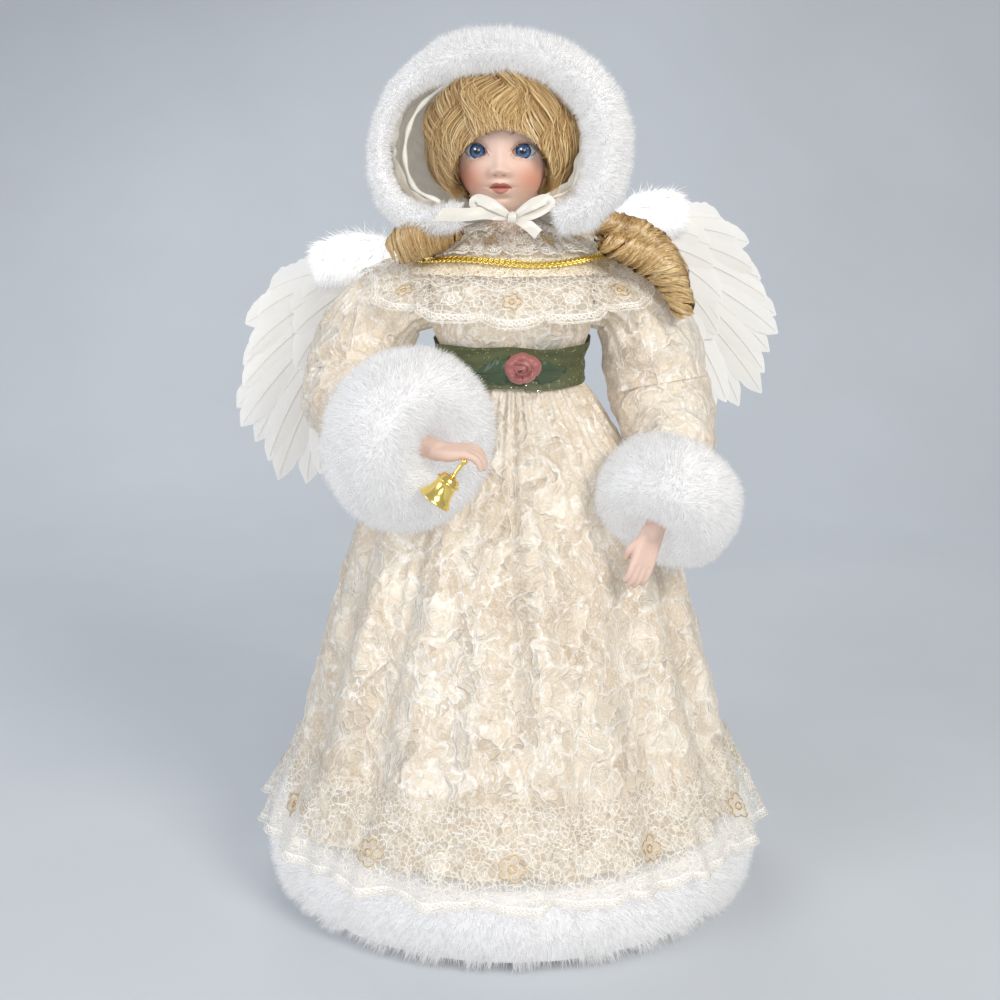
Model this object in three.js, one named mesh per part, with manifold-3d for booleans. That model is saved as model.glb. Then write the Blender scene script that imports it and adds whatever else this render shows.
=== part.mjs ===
// Angel tree topper: a porcelain-headed doll in a velvet gown, standing over a hollow card cone.
// Millimetres. +Z up, +X to the doll's left hand, -Y towards the viewer, origin on the floor
// under the middle of the gown. "right" and "left" are the doll's own.
import * as THREE from "three";
import { mergeVertices } from "three/addons/utils/BufferGeometryUtils.js";
import Module from "manifold-3d";

const wasm = await Module();
wasm.setup();

// Clearances
const seatGap = 0.3; // between pieces that touch
const swingGap = 1.2; // between a fixed piece and one that swings past it
const overrun = 2; // how far a cutter passes the face that it cuts

// Card cone that slips over the tree's top shoot
const coneHeight = 236;
const coneFootGap = 19; // from the fur roll's inside to the cone's foot
const coneTopRadius = 24;
const coneWall = 2;

// Stuffed body
const waistRise = 51; // waist above the cone's top
const shoulderRise = 35; // shoulder pivots above the waist
const neckRise = 31; // neck above the shoulder pivots
const waistHalfWidth = 33;
const waistHalfDepth = 29;
const shoulderHalfWidth = 41;
const chestHalfDepth = 35;
const neckRadius = 13;
const neckSeatRadius = 14; // where the head's neck stands on the body
const armholeReach = 43; // sleeve's first ring from the middle plane
const shoulderWireRadius = 1.2;

// Gown
const velvet = 2.2; // velvet and its backing
const netting = 1;
const laceThickness = 1;
const hemRadius = 124; // middle of the gown at its lower edge
const pleatCount = 18;
const hemPleatDepth = 4;
const petticoatFloorGap = 4;

// Fur, lace and ribbon on the gown
const hemFurHeight = 45;
const hemFurHalfDepth = 10;
const coneFootRadius = hemRadius - hemFurHalfDepth - coneFootGap;
const hemLaceTop = 84;
const hemLaceFoot = 36;
const hemLaceFlare = 6; // how far the lace's edge stands out from the fur
const hemLaceRadius = hemRadius + hemFurHalfDepth + hemLaceFlare;
const hemLaceWave = 3;
const capeHalfWidth = 57;
const capeHalfDepth = 43;
const capeThickness = 1.6;
const berthaHalfWidth = 79;
const berthaHalfDepth = 54;
const berthaDrop = 32;
const berthaBackShare = 0.27; // of that drop, behind
const berthaWave = 1.8;
const berthaPleats = 12;
const ruffleReachShare = 0.5; // of the way from the neck to the cape's edge
const ruffleWaveShare = 0.06;
const ruffleDrop = 17;
const rufflePleats = 11;
const braidRadius = 1.4;
const braidPlaceShare = 0.93; // of the way from the neck to the cape's edge
const sashHeight = 22;
const ribbonThickness = 0.9;
const roseRadius = 7;
const roseX = 5;
const leafLength = 21;
const leafHalfWidth = 7;
const bowRibbonWidth = 6.4;
const bowLift = 1.5; // knot above the chin's level
const bowTailLength = 38;
const bowLoopLength = 21;

// Arms
const sleeveWall = 2.2;
const armCoreRadius = 6;
const wristRadius = 7.5;
const palmLength = 15;
const palmHalfWidth = 6.8;
const fingerLength = 13;
const fingerRadius = 1.75;
const cuffLength = 42;
const rightCuffRadius = 41;
const leftCuffRadius = 34;
// Places along each arm: [across, back, up], upwards from the shoulder pivots
const rightElbow = [-84, -6, -52];
const rightCuffPlace = [-50, -84, -62];
const rightCuffHeading = [0.66, -0.74, -0.1];
const rightHandHeading = [0.95, -0.25, 0.08];
const leftElbow = [79, -4, -56];
const leftCuffPlace = [79, -60, -98];
const leftCuffHeading = [-0.42, -0.62, -0.66];
const leftHandHeading = [-0.3, -0.3, -0.9];
const sleeveRadii = [17, 22, 27, 28, 26, 21, 14, 13]; // at even steps from armhole to cuff
const sleeveHeadDrop = 4; // how far the sleeve has dropped where it leaves the shoulder
const elbowBulge = 3;

// Bell in the right hand, with its clapper
const bellMouthRadius = 8.6;
const bellLength = 14;
const bellWall = 0.8;
const bellCrownPlace = [-28, -113, -74]; // across, back, and up from the shoulder pivots
const bellTilt = 38; // degrees from plumb, mouth outwards
const bellHandleLength = 9;
const clapperRadius = 1.9;
const clapperLength = 9.5;

// Head, wig and hood
const headHalfWidth = 28.5;
const headHalfDepth = 31;
const headHalfHeight = 36;
const chinRise = 11; // chin above the neck
const throatRadius = 12;
const headTurn = -4; // degrees, towards the doll's right
const headShift = -4; // the head stands a little to the doll's right
const headForward = 9;
const eyeSpacing = 23.6;
const eyeHalfWidth = 5.1;
const eyeHalfHeight = 3.6;
const eyeDepth = 4;
const wigThickness = 11.5;
const wigBack = 4; // the wig's middle behind the head's
const wigLift = 2;
const hoodHalfWidth = 59;
const hoodHalfHeight = 52;
const hoodDepth = 50;
const hoodAside = 5; // the hood's middle to the right of the head's
const hoodDrop = 2;
const hoodWall = 2.2;
const liningThickness = 1.4;
const hoodFurRadius = 11.5;

// Side curls: places along each, [across, back from the cheek, up from the chin's underside]
const rightCurlPath = [
  [-30, 0, 6],
  [-45, 3, 1],
  [-60, 6, -8],
];
const leftCurlPath = [
  [50, 3, 2],
  [67, 7, -5],
  [81, 8, -18],
  [87, 9, -34],
];
const rightCurlRadius = 11;
const leftCurlRadius = 13;
const curlTurns = 6;

// Wings
const wingPinReach = 12; // hinge pins from the middle plane
const wingPinRadius = 1.2;
const wingPlane = 61; // hinge line behind the middle of the gown
const knuckleRadius = 2.8;
const knuckleLength = 22;
const bracketLug = 3;
const bracketSeat = 2.4; // how far the plate reaches in behind the bodice's back face
const wingCardThickness = 1.6;
const wingCardLength = 78;
const quillReach = 58; // quill ends from the hinge pin
const quillFan = 10; // radius of the arc on which the quills start
const quillFanHeight = 13;
const quillRise = 17; // the arc's middle above the hinge's
const bindingStep = 3; // the binding's arc outside the quills' starts
const bindingHalfWidth = 2.4;
const featherCount = 9;
const featherWidth = 21;
const featherThickness = 1;
const longFeather = 130;
const covertCount = 6;
const covertLengthShare = 0.52; // of the long feathers
const covertWidthShare = 1.1;
const covertStep = 1; // their quills start this much nearer the hinge
const featherBend = 7; // degrees
const downHalfDepth = 3;
const downRootHalfWidth = 11;
const downTipHalfWidth = 9;
const downPath = [
  // [out from the hinge pin, up]
  [42, -8],
  [50, 12],
  [68, 22],
  [92, 17],
];
const wingSweepForward = -6; // degrees from straight out sideways
const wingSweepBack = 40;
const rightWingSweep = 0;
const leftWingSweep = 23;
const rightWingRoll = 0; // degrees that the wing is raised
const leftWingRoll = 17;

// Levels worked out from the sizes above
const coneTop = coneHeight;
const torsoFoot = coneTop + seatGap;
const waistZ = coneTop + waistRise;
const shoulderZ = waistZ + shoulderRise;
const neckZ = shoulderZ + neckRise;
const chinZ = neckZ + chinRise;
const headZ = chinZ + headHalfHeight;

// Small helpers
const turnsToRadians = 2 * Math.PI;
const rad = THREE.MathUtils.degToRad;
const lerp = THREE.MathUtils.lerp;
const clamp = THREE.MathUtils.clamp;
const smooth = (t) => THREE.MathUtils.smoothstep(t, 0, 1);
const v3 = (x, y, z) => new THREE.Vector3(x, y, z);
const ring = (count, pointAt) => Array.from({ length: count }, (_, i) => pointAt(i / count));
const steps = (count, valueAt) => Array.from({ length: count }, (_, i) => valueAt(i / (count - 1), i));

// A value read off a table of [place, value] pairs, eased between them.
function along(table, place) {
  const last = table.length - 1;
  if (place <= table[0][0]) return table[0][1];
  if (place >= table[last][0]) return table[last][1];
  const i = table.findIndex(([p]) => p > place) - 1;
  const [p0, a] = table[i];
  const [p1, b] = table[i + 1];
  return lerp(a, b, (place - p0) / (p1 - p0));
}

function geometryOf(points, index) {
  const flat = new Float32Array(points.flatMap((p) => [p.x, p.y, p.z]));
  const made = new THREE.BufferGeometry();
  made.setAttribute("position", new THREE.BufferAttribute(flat, 3));
  made.setIndex(index);
  return made;
}

// The volume's sign says whether the faces point out.
function signedVolume(points, index) {
  let sum = 0;
  for (let i = 0; i < index.length; i += 3) {
    const [a, b, c] = [points[index[i]], points[index[i + 1]], points[index[i + 2]]];
    sum += a.dot(v3(0, 0, 0).crossVectors(b, c));
  }
  return sum;
}

function faceOut(points, index) {
  if (signedVolume(points, index) < 0) index.reverse();
  return geometryOf(points, index);
}

// Joins two rings. Each four-sided patch is split along its shorter diagonal.
function band(points, index, a, b, count) {
  for (let i = 0; i < count; i++) {
    const j = (i + 1) % count;
    const along = points[a + i].distanceTo(points[b + j]);
    const against = points[a + j].distanceTo(points[b + i]);
    if (along <= against) index.push(a + i, a + j, b + j, a + i, b + j, b + i);
    else index.push(a + i, a + j, b + i, a + j, b + j, b + i);
  }
}

// A solid through a list of rings, closed by a cap at each end.
function loft(rings) {
  const count = rings[0].length;
  const points = rings.flat();
  const index = [];
  for (let r = 0; r < rings.length - 1; r++) {
    band(points, index, r * count, (r + 1) * count, count);
  }
  const last = (rings.length - 1) * count;
  const middle = (from) => {
    const sum = v3(0, 0, 0);
    for (let i = 0; i < count; i++) sum.add(points[from + i]);
    return sum.divideScalar(count);
  };
  points.push(middle(0), middle(last));
  for (let i = 0; i < count; i++) {
    const j = (i + 1) % count;
    index.push(points.length - 2, j, i);
    index.push(points.length - 1, last + i, last + j);
  }
  return faceOut(points, index);
}

// A ring-shaped solid: the rings are its sections, and the last one meets the first.
function hoop(rings) {
  const count = rings[0].length;
  const points = rings.flat();
  const index = [];
  for (let r = 0; r < rings.length; r++) {
    band(points, index, r * count, ((r + 1) % rings.length) * count, count);
  }
  return faceOut(points, index);
}

// A skin with a thickness, open at top and foot: outer and inner give a point for (turn, share down).
function shell(columns, rows, outer, inner) {
  return hoop(
    ring(columns, (turn) => [
      ...steps(rows, (share) => outer(turn, share)),
      ...steps(rows, (share) => inner(turn, 1 - share)),
    ]),
  );
}

// A rounded-box section: exponent 2 is an ellipse, more is squarer.
function roundedSection(turn, halfWidth, halfDepth, exponent) {
  const angle = turn * turnsToRadians;
  const c = Math.cos(angle);
  const s = Math.sin(angle);
  const size = (Math.abs(c) ** exponent + Math.abs(s) ** exponent) ** (-1 / exponent);
  return [halfWidth * c * size, halfDepth * s * size];
}

// A tube along a smooth path, with its own radius at each share of the way.
function sweep(path, radiusAt, sides, stations, flatten = 1) {
  const curve = new THREE.CatmullRomCurve3(path);
  const frames = curve.computeFrenetFrames(stations - 1, false);
  return loft(
    steps(stations, (share, i) => {
      const centre = curve.getPointAt(share);
      const radius = radiusAt(share);
      return ring(sides, (turn) =>
        centre
          .clone()
          .addScaledVector(frames.normals[i], radius * Math.cos(turn * turnsToRadians))
          .addScaledVector(frames.binormals[i], radius * flatten * Math.sin(turn * turnsToRadians)),
      );
    }),
  );
}

// The sections of a limb along a path, square to it, kept upright so that they don't twist.
function limbRings(path, radii, sides, stations, firstNormal, grow = 0) {
  const curve = new THREE.CatmullRomCurve3(path);
  const radiusTable = radii.map((r, i) => [i / (radii.length - 1), r]);
  return steps(stations, (share) => {
    const centre = curve.getPoint(share);
    const heading = curve.getTangent(share);
    if (share === 0) heading.copy(firstNormal);
    const side = v3(0, 0, 0).crossVectors(heading, v3(0, 1, 0.2)).normalize();
    const up = v3(0, 0, 0).crossVectors(side, heading).normalize();
    const radius = along(radiusTable, share) + grow;
    return ring(sides, (turn) =>
      centre
        .clone()
        .addScaledVector(side, radius * Math.cos(turn * turnsToRadians))
        .addScaledVector(up, radius * Math.sin(turn * turnsToRadians)),
    );
  });
}

// Booleans
function solidOf(geometry) {
  const bare = geometry.clone();
  bare.deleteAttribute("normal");
  bare.deleteAttribute("uv");
  const merged = mergeVertices(bare, 1e-4);
  return new wasm.Manifold(
    new wasm.Mesh({
      numProp: 3,
      vertProperties: merged.attributes.position.array,
      triVerts: new Uint32Array(merged.index.array),
    }),
  );
}

function geometryFrom(solid) {
  const mesh = solid.getMesh();
  const made = new THREE.BufferGeometry();
  made.setAttribute("position", new THREE.BufferAttribute(mesh.vertProperties, 3));
  made.setIndex(new THREE.BufferAttribute(mesh.triVerts, 1));
  return made;
}

const join = (...parts) => geometryFrom(parts.map(solidOf).reduce((a, b) => a.add(b)));

// The piece with the cutters taken away; loose crumbs of the cut are dropped with the waste.
function cut(piece, ...cutters) {
  const left = cutters.map(solidOf).reduce((a, b) => a.subtract(b), solidOf(piece));
  const bodies = left.decompose().sort((a, b) => b.volume() - a.volume());
  return geometryFrom(bodies[0]);
}

function common(a, b) {
  return geometryFrom(solidOf(a).intersect(solidOf(b)));
}

// A copy moved out along its own normals, to cut a seat with a gap.
function grown(geometry, by = seatGap) {
  const bare = geometry.clone();
  bare.deleteAttribute("normal");
  bare.deleteAttribute("uv");
  const made = mergeVertices(bare, 1e-4);
  made.computeVertexNormals();
  const place = made.attributes.position;
  const normal = made.attributes.normal;
  for (let i = 0; i < place.count; i++) {
    place.setXYZ(
      i,
      place.getX(i) + by * normal.getX(i),
      place.getY(i) + by * normal.getY(i),
      place.getZ(i) + by * normal.getZ(i),
    );
  }
  made.deleteAttribute("normal");
  return made;
}

function box(low, high) {
  const size = high.clone().sub(low);
  const made = new THREE.BoxGeometry(size.x, size.y, size.z);
  return made.translate((low.x + high.x) / 2, (low.y + high.y) / 2, (low.z + high.z) / 2);
}

function rod(from, to, radius, sides = 12) {
  const heading = to.clone().sub(from);
  const made = new THREE.CylinderGeometry(radius, radius, heading.length(), sides);
  const turn = new THREE.Quaternion().setFromUnitVectors(v3(0, 1, 0), heading.clone().normalize());
  return made.applyQuaternion(turn).translate(
    (from.x + to.x) / 2,
    (from.y + to.y) / 2,
    (from.z + to.z) / 2,
  );
}

function egg(centre, halfSizes, columns = 24, rows = 16) {
  const made = new THREE.SphereGeometry(1, columns, rows);
  made.rotateX(Math.PI / 2);
  return made.scale(halfSizes.x, halfSizes.y, halfSizes.z).translate(centre.x, centre.y, centre.z);
}

// Materials
const finish = (color, roughness, metalness = 0) =>
  new THREE.MeshStandardMaterial({ color, roughness, metalness });
const materials = {
  card: finish(0xcdb68f, 0.9),
  stuffing: finish(0xe9dfcb, 0.95),
  velvet: finish(0xe3d2b4, 0.65),
  netting: finish(0xf2ead8, 0.8),
  fur: finish(0xf4f2ee, 1),
  lace: finish(0xf0e6d2, 0.8),
  yoke: finish(0xe4d0a4, 0.6),
  goldBraid: finish(0xd6b04a, 0.35, 0.6),
  sash: finish(0x4c5a35, 0.45),
  rose: finish(0xa45a54, 0.5),
  leaf: finish(0x2f4630, 0.45),
  bow: finish(0xf3ead6, 0.35),
  porcelain: finish(0xe9b99d, 0.5),
  eye: finish(0x29518c, 0.08),
  hair: finish(0xb98f52, 0.45),
  satin: finish(0xe9e1ce, 0.35),
  wire: finish(0x9a9a98, 0.35, 0.9),
  gold: finish(0xcfae3c, 0.2, 1),
  feather: finish(0xf6f1e8, 0.85),
};

const angel = new THREE.Group();
function add(name, geometry, material) {
  const made = new THREE.Mesh(geometry, material);
  made.name = name;
  angel.add(made);
  return made;
}

// Body. Each row is a section of it, with the exponent that says how square it is.
const bodyColumns = 26;
const neckGirth = (share, full) => lerp(neckSeatRadius, full, share);
const torsoRows = [
  { z: torsoFoot, halfWidth: coneTopRadius + velvet, halfDepth: coneTopRadius, exponent: 2 },
  {
    z: lerp(torsoFoot, waistZ, 0.5),
    halfWidth: waistHalfWidth - velvet,
    halfDepth: waistHalfDepth - velvet,
    exponent: 2,
  },
  { z: waistZ, halfWidth: waistHalfWidth, halfDepth: waistHalfDepth, exponent: 2.1 },
  {
    z: lerp(waistZ, shoulderZ, 0.55),
    halfWidth: shoulderHalfWidth - velvet,
    halfDepth: chestHalfDepth,
    exponent: 2.6,
  },
  { z: shoulderZ, halfWidth: shoulderHalfWidth, halfDepth: chestHalfDepth, exponent: 2.8 },
  {
    z: lerp(shoulderZ, neckZ, 0.4),
    halfWidth: shoulderHalfWidth - velvet,
    halfDepth: chestHalfDepth - velvet,
    exponent: 2.7,
  },
  {
    z: lerp(shoulderZ, neckZ, 0.65),
    halfWidth: neckGirth(0.7, shoulderHalfWidth),
    halfDepth: neckGirth(0.73, chestHalfDepth),
    exponent: 2.3,
  },
  {
    z: lerp(shoulderZ, neckZ, 0.85),
    halfWidth: neckGirth(0.3, shoulderHalfWidth),
    halfDepth: neckGirth(0.32, chestHalfDepth),
    exponent: 2,
  },
  { z: neckZ, halfWidth: neckSeatRadius, halfDepth: neckSeatRadius, exponent: 2 },
];
const torsoSize = (z, key) => along(torsoRows.map((row) => [row.z, row[key]]), z);
const bodyPoint = (turn, z, grow) => {
  const [x, y] = roundedSection(
    turn,
    torsoSize(z, "halfWidth") + grow,
    torsoSize(z, "halfDepth") + grow,
    torsoSize(z, "exponent"),
  );
  return v3(x, y, z);
};

function makeCone() {
  const foot = coneFootRadius;
  const profile = [
    new THREE.Vector2(foot - coneWall, 0),
    new THREE.Vector2(foot, 0),
    new THREE.Vector2(coneTopRadius, coneTop),
    new THREE.Vector2(coneTopRadius - coneWall, coneTop),
    new THREE.Vector2(foot - coneWall, 0),
  ];
  return new THREE.LatheGeometry(profile, 40).rotateX(Math.PI / 2);
}

function makeTorso() {
  const rings = torsoRows.map((row) => ring(bodyColumns, (turn) => bodyPoint(turn, row.z, 0)));
  const reach = armholeReach + overrun;
  const bore = rod(v3(-reach, 0, shoulderZ), v3(reach, 0, shoulderZ), shoulderWireRadius + seatGap, 8);
  return cut(loft(rings), bore);
}

function makeShoulderWire() {
  const reach = armholeReach + armCoreRadius;
  return rod(v3(-reach, 0, shoulderZ), v3(reach, 0, shoulderZ), shoulderWireRadius, 8);
}

// Gown
const skirtTop = waistZ;
const skirtFoot = hemFurHeight + seatGap;
const bodySkin = seatGap + velvet; // bodice outside the body
const gownWaist = waistHalfWidth + bodySkin;
const gownWaistDepth = waistHalfDepth + bodySkin;
// [share of the way down, share of the way out] of the gown's swell
const gownSwellShares = [
  [0, 0],
  [0.045, 0.01],
  [0.16, 0.22],
  [0.36, 0.52],
  [0.55, 0.675],
  [0.78, 0.85],
  [1, 1],
];

function gownRadius(turn, z) {
  const down = clamp((skirtTop - z) / (skirtTop - skirtFoot), 0, 1);
  const out = along(gownSwellShares, down);
  const waist = Math.hypot(...roundedSection(turn, gownWaist, gownWaistDepth, 2.1));
  const angle = turn * turnsToRadians;
  const pleat = Math.cos(pleatCount * angle) * 0.6 + Math.cos(7 * angle + 1) * 0.4;
  return lerp(waist, hemRadius, out) + pleat * hemPleatDepth * smooth(out * 1.6) * (0.4 + 0.6 * out);
}

const roundPoint = (turn, radius, z) =>
  v3(radius * Math.cos(turn * turnsToRadians), radius * Math.sin(turn * turnsToRadians), z);

function makeSkirt() {
  const rowShares = [0, 0.045, 0.14, 0.34, 0.6, 1];
  const table = rowShares.map((s, i) => [i / (rowShares.length - 1), s]);
  const level = (share) => lerp(skirtTop, skirtFoot, along(table, share));
  return shell(
    pleatCount * 4,
    rowShares.length,
    (turn, share) => roundPoint(turn, gownRadius(turn, level(share)), level(share)),
    (turn, share) => roundPoint(turn, gownRadius(turn, level(share)) - velvet, level(share)),
  );
}

function makePetticoat() {
  const top = lerp(torsoFoot, waistZ, 0.62);
  const hemInside = hemRadius - hemFurHalfDepth - seatGap * 4;
  const under = (share, folds) => {
    const z = lerp(skirtFoot, top, share);
    return [z, gownRadius(0.1, z) - hemPleatDepth * folds - velvet * 2];
  };
  const rows = [
    [top, null],
    [top - velvet, null],
    under(0.86, 1),
    under(0.45, 2),
    [hemFurHeight, hemInside],
    [petticoatFloorGap, hemInside],
  ];
  const at = (turn, i, inset) => {
    const [z, radius] = rows[i];
    if (radius === null) return bodyPoint(turn, z, seatGap + netting - inset);
    return roundPoint(turn, radius - inset, z);
  };
  const row = (share) => Math.round(share * (rows.length - 1));
  return shell(
    bodyColumns,
    rows.length,
    (turn, share) => at(turn, row(share), 0),
    (turn, share) => at(turn, row(share), netting),
  );
}

function makeBodice() {
  const foot = waistZ + seatGap;
  const levels = torsoRows.slice(3, 6).map((row) => row.z);
  const top = levels.at(-1);
  const rise = (share) => [top, levels[1], levels[0], foot][Math.round(share * 3)];
  const skin = shell(
    bodyColumns,
    4,
    (turn, share) => bodyPoint(turn, rise(share), bodySkin),
    (turn, share) => bodyPoint(turn, rise(share), seatGap),
  );
  const side = (s) => {
    const near = (armholeReach - seatGap) * s;
    const far = (armholeReach + overrun * 4) * s;
    const deep = chestHalfDepth;
    return box(v3(Math.min(near, far), -deep, foot), v3(Math.max(near, far), deep, top + overrun));
  };
  const reach = armholeReach + overrun;
  const bore = rod(v3(-reach, 0, shoulderZ), v3(reach, 0, shoulderZ), armCoreRadius + swingGap, 8);
  return cut(skin, side(1), side(-1), bore);
}

// The fur roll's section has ten sides, with a flat one to stand on.
const furSides = 10;
const furLift = Math.sin((turnsToRadians * 2) / furSides);
function makeHemFur() {
  const half = hemFurHeight / 2;
  return hoop(
    ring(pleatCount * 2, (turn) =>
      ring(furSides, (round) => {
        const angle = round * turnsToRadians;
        const radius = hemRadius + hemFurHalfDepth * Math.cos(angle);
        return roundPoint(turn, radius, half + (half * Math.sin(angle)) / furLift);
      }),
    ),
  );
}

// The fur roll's outer face at a height, to lay the lace on.
function hemFurOuter(z) {
  const up = clamp(((z - hemFurHeight / 2) / (hemFurHeight / 2)) * furLift, -1, 1);
  return hemRadius + hemFurHalfDepth * Math.sqrt(1 - up * up);
}

function makeHemLace() {
  const levelShares = [0, 0.5, 1];
  const inside = (turn, share) => {
    const drop = along(levelShares.map((s, i) => [i / 2, s]), share);
    const z = lerp(hemLaceTop, hemLaceFoot, drop);
    const wave = Math.cos(pleatCount * turn * turnsToRadians + 2) * hemLaceWave * drop;
    const free = lerp(gownRadius(turn, hemLaceTop), hemLaceRadius - laceThickness, drop ** 0.8) + wave;
    const gown = gownRadius(turn, Math.max(z, skirtFoot));
    const under = z < hemFurHeight + velvet ? Math.max(gown, hemFurOuter(z)) : gown;
    return [Math.max(free, under + seatGap), z];
  };
  return shell(
    pleatCount * 4,
    levelShares.length,
    (turn, share) => roundPoint(turn, inside(turn, share)[0] + laceThickness, inside(turn, share)[1]),
    (turn, share) => roundPoint(turn, ...inside(turn, share)),
  );
}

const capeColumns = berthaPleats * 4;

// Height of the cloth that lies over a sleeve's head, at a place across and back from the middle.
function overSleeve(x, y) {
  const rings = sleeveRings(x < 0 ? arms.right : arms.left, 0);
  const crests = rings.map((round) => round.reduce((a, b) => (b.z > a.z ? b : a)));
  const outwards = (p, i) => i === 0 || Math.abs(p.x) > Math.abs(crests[i - 1].x);
  const places = crests.filter(outwards).map((p) => [Math.abs(p.x), p.z]);
  const radius = Math.max(...sleeveRadii) + swingGap;
  if (Math.abs(y) >= radius) return -Infinity;
  return along(places, Math.abs(x)) + swingGap * 2 - radius + Math.sqrt(radius * radius - y * y);
}

// A point of the cape at a share of the way out from the neck.
function capePoint(turn, share, lift) {
  const angle = turn * turnsToRadians;
  const back = Math.sin(angle) > 0;
  const [x, y] = roundedSection(
    turn,
    lerp(neckRadius + velvet * 2, capeHalfWidth, share),
    lerp(neckRadius + velvet * 2, capeHalfDepth, share),
    2.2,
  );
  const edge = lerp(shoulderZ, neckZ, back ? 0.66 : 0.6);
  const crown = Math.sin(share * Math.PI) * velvet;
  const z = lerp(neckZ, edge, share ** 0.9) + crown;
  const sleeve = overSleeve(x, y);
  return v3(x, y, Math.max(z, sleeve + laceThickness) + lift);
}

function makeCape() {
  return shell(
    capeColumns,
    3,
    (turn, share) => capePoint(turn, share, capeThickness),
    (turn, share) => capePoint(turn, share, 0),
  );
}

function berthaPoint(turn, share, lift) {
  const angle = turn * turnsToRadians;
  const side = Math.abs(Math.cos(angle)) ** 1.6;
  const back = Math.max(0, Math.sin(angle));
  const start = capePoint(turn, 1, 0);
  const reach = lerp(1, 0.8, back * (1 - side));
  const [endX, endY] = roundedSection(turn, berthaHalfWidth, berthaHalfDepth * reach, 2.2);
  const drop = lerp(lerp(berthaDrop, berthaDrop * berthaBackShare, back), berthaDrop / 2, side);
  const wave = Math.cos(berthaPleats * angle) * berthaWave * share;
  const out = Math.hypot(endX, endY);
  const grow = (out + wave + lift) / out;
  const x = lerp(start.x, endX * grow, share);
  const y = lerp(start.y, endY * grow, share);
  const free = start.z - drop * share ** 1.4 - seatGap - laceThickness;
  return v3(x, y, Math.max(free, overSleeve(x, y)) + lift * lerp(0.9, 0.3, share));
}

function makeBertha() {
  return shell(
    capeColumns,
    3,
    (turn, share) => berthaPoint(turn, share, laceThickness),
    (turn, share) => berthaPoint(turn, share, 0),
  );
}

// The cape and the lace below it with all that is under them, to seat what lies on them.
function clothMound(gap) {
  const drop = v3(0, 0, -berthaDrop);
  const rows = [
    (turn) => berthaPoint(turn, 1, laceThickness + gap).add(drop),
    (turn) => berthaPoint(turn, 1, laceThickness + gap),
    (turn) => berthaPoint(turn, 0.5, laceThickness + gap),
    (turn) => capePoint(turn, 1.02, capeThickness + gap),
    (turn) => capePoint(turn, 0.5, capeThickness + gap),
    (turn) => capePoint(turn, 0, capeThickness + gap),
  ];
  return loft(rows.map((at) => ring(capeColumns, at)));
}

function makeBraid() {
  return hoop(
    ring(capeColumns, (turn) => {
      const base = capePoint(turn, braidPlaceShare, capeThickness + laceThickness + braidRadius);
      const outward = v3(base.x, base.y, 0).normalize();
      return ring(4, (round) =>
        base
          .clone()
          .addScaledVector(outward, braidRadius * Math.cos(round * turnsToRadians))
          .add(v3(0, 0, braidRadius * Math.sin(round * turnsToRadians))),
      );
    }),
  );
}

// Lace at the throat: it stands round the neck and falls onto the cape.
function makeRuffle() {
  const top = neckZ + chinRise * 0.8;
  const at = (turn, share, lift) => {
    const wave = Math.cos(rufflePleats * turn * turnsToRadians) * ruffleWaveShare * share;
    if (share === 0) return roundPoint(turn, neckRadius + velvet + lift, top);
    const lying = capePoint(turn, (ruffleReachShare + wave) * share, capeThickness + laceThickness + lift);
    lying.z = Math.max(lying.z, top - ruffleDrop * share + lift);
    return lying;
  };
  return shell(
    rufflePleats * 4,
    3,
    (turn, share) => at(turn, share, laceThickness),
    (turn, share) => at(turn, share, 0),
  );
}

function makeSash() {
  const foot = waistZ - sashHeight / 2;
  const top = waistZ + sashHeight / 2;
  const around = (turn, z) => {
    const [x, y] = roundedSection(turn, gownWaist, gownWaistDepth, 2.1);
    const body = bodyPoint(turn, Math.max(z, waistZ + seatGap), bodySkin);
    const waist = z > waistZ ? Math.hypot(body.x, body.y) : Math.max(Math.hypot(x, y), gownRadius(turn, z));
    return waist + seatGap;
  };
  const level = (share) => lerp(top, foot, share);
  return shell(
    pleatCount * 2,
    3,
    (turn, share) => roundPoint(turn, around(turn, level(share)) + ribbonThickness, level(share)),
    (turn, share) => roundPoint(turn, around(turn, level(share)), level(share)),
  );
}

// Ribbon rose: a bud with petals curled round it, and two leaves behind it on the sash.
const sashFront = -(gownWaistDepth + seatGap + ribbonThickness);
function makeRose() {
  const depth = roseRadius * 0.9;
  const petals = steps(3, (share, i) => {
    const angle = (i / 3) * turnsToRadians + 0.5;
    const off = roseRadius * 0.45;
    return egg(
      v3(roseX + off * Math.cos(angle), sashFront - depth, waistZ + off * Math.sin(angle)),
      v3(roseRadius * 0.62, depth * 0.5, roseRadius * 0.62),
      8,
      5,
    );
  });
  const budPlace = v3(roseX, sashFront - depth * 1.15, waistZ);
  const bud = egg(budPlace, v3(roseRadius * 0.5, depth * 0.75, roseRadius * 0.5), 8, 5);
  return join(bud, ...petals);
}

// The sash's outer face at a place across it, a little proud to clear its bulge.
function sashFace(x, proud) {
  const wide = gownWaist + seatGap + ribbonThickness + proud;
  const deep = gownWaistDepth + seatGap + ribbonThickness + proud;
  return -deep * (1 - Math.min(1, Math.abs(x) / wide) ** 2.1) ** (1 / 2.1);
}

function makeLeaf(side) {
  const belly = ribbonThickness * 0.5;
  const rings = steps(6, (share) => {
    const half = leafHalfWidth * Math.sin(Math.PI * (0.12 + 0.86 * share)) * (1 - 0.25 * share);
    const x = roseX + side * (roseRadius * 0.25 + leafLength * share);
    const middle = waistZ - leafLength * 0.12 * share;
    const y = sashFace(x, velvet + belly);
    return [
      v3(x, y, middle + half),
      v3(x, y - belly, middle),
      v3(x, y, middle - half),
      v3(x, y + belly, middle),
    ];
  });
  return loft(rings);
}

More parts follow.
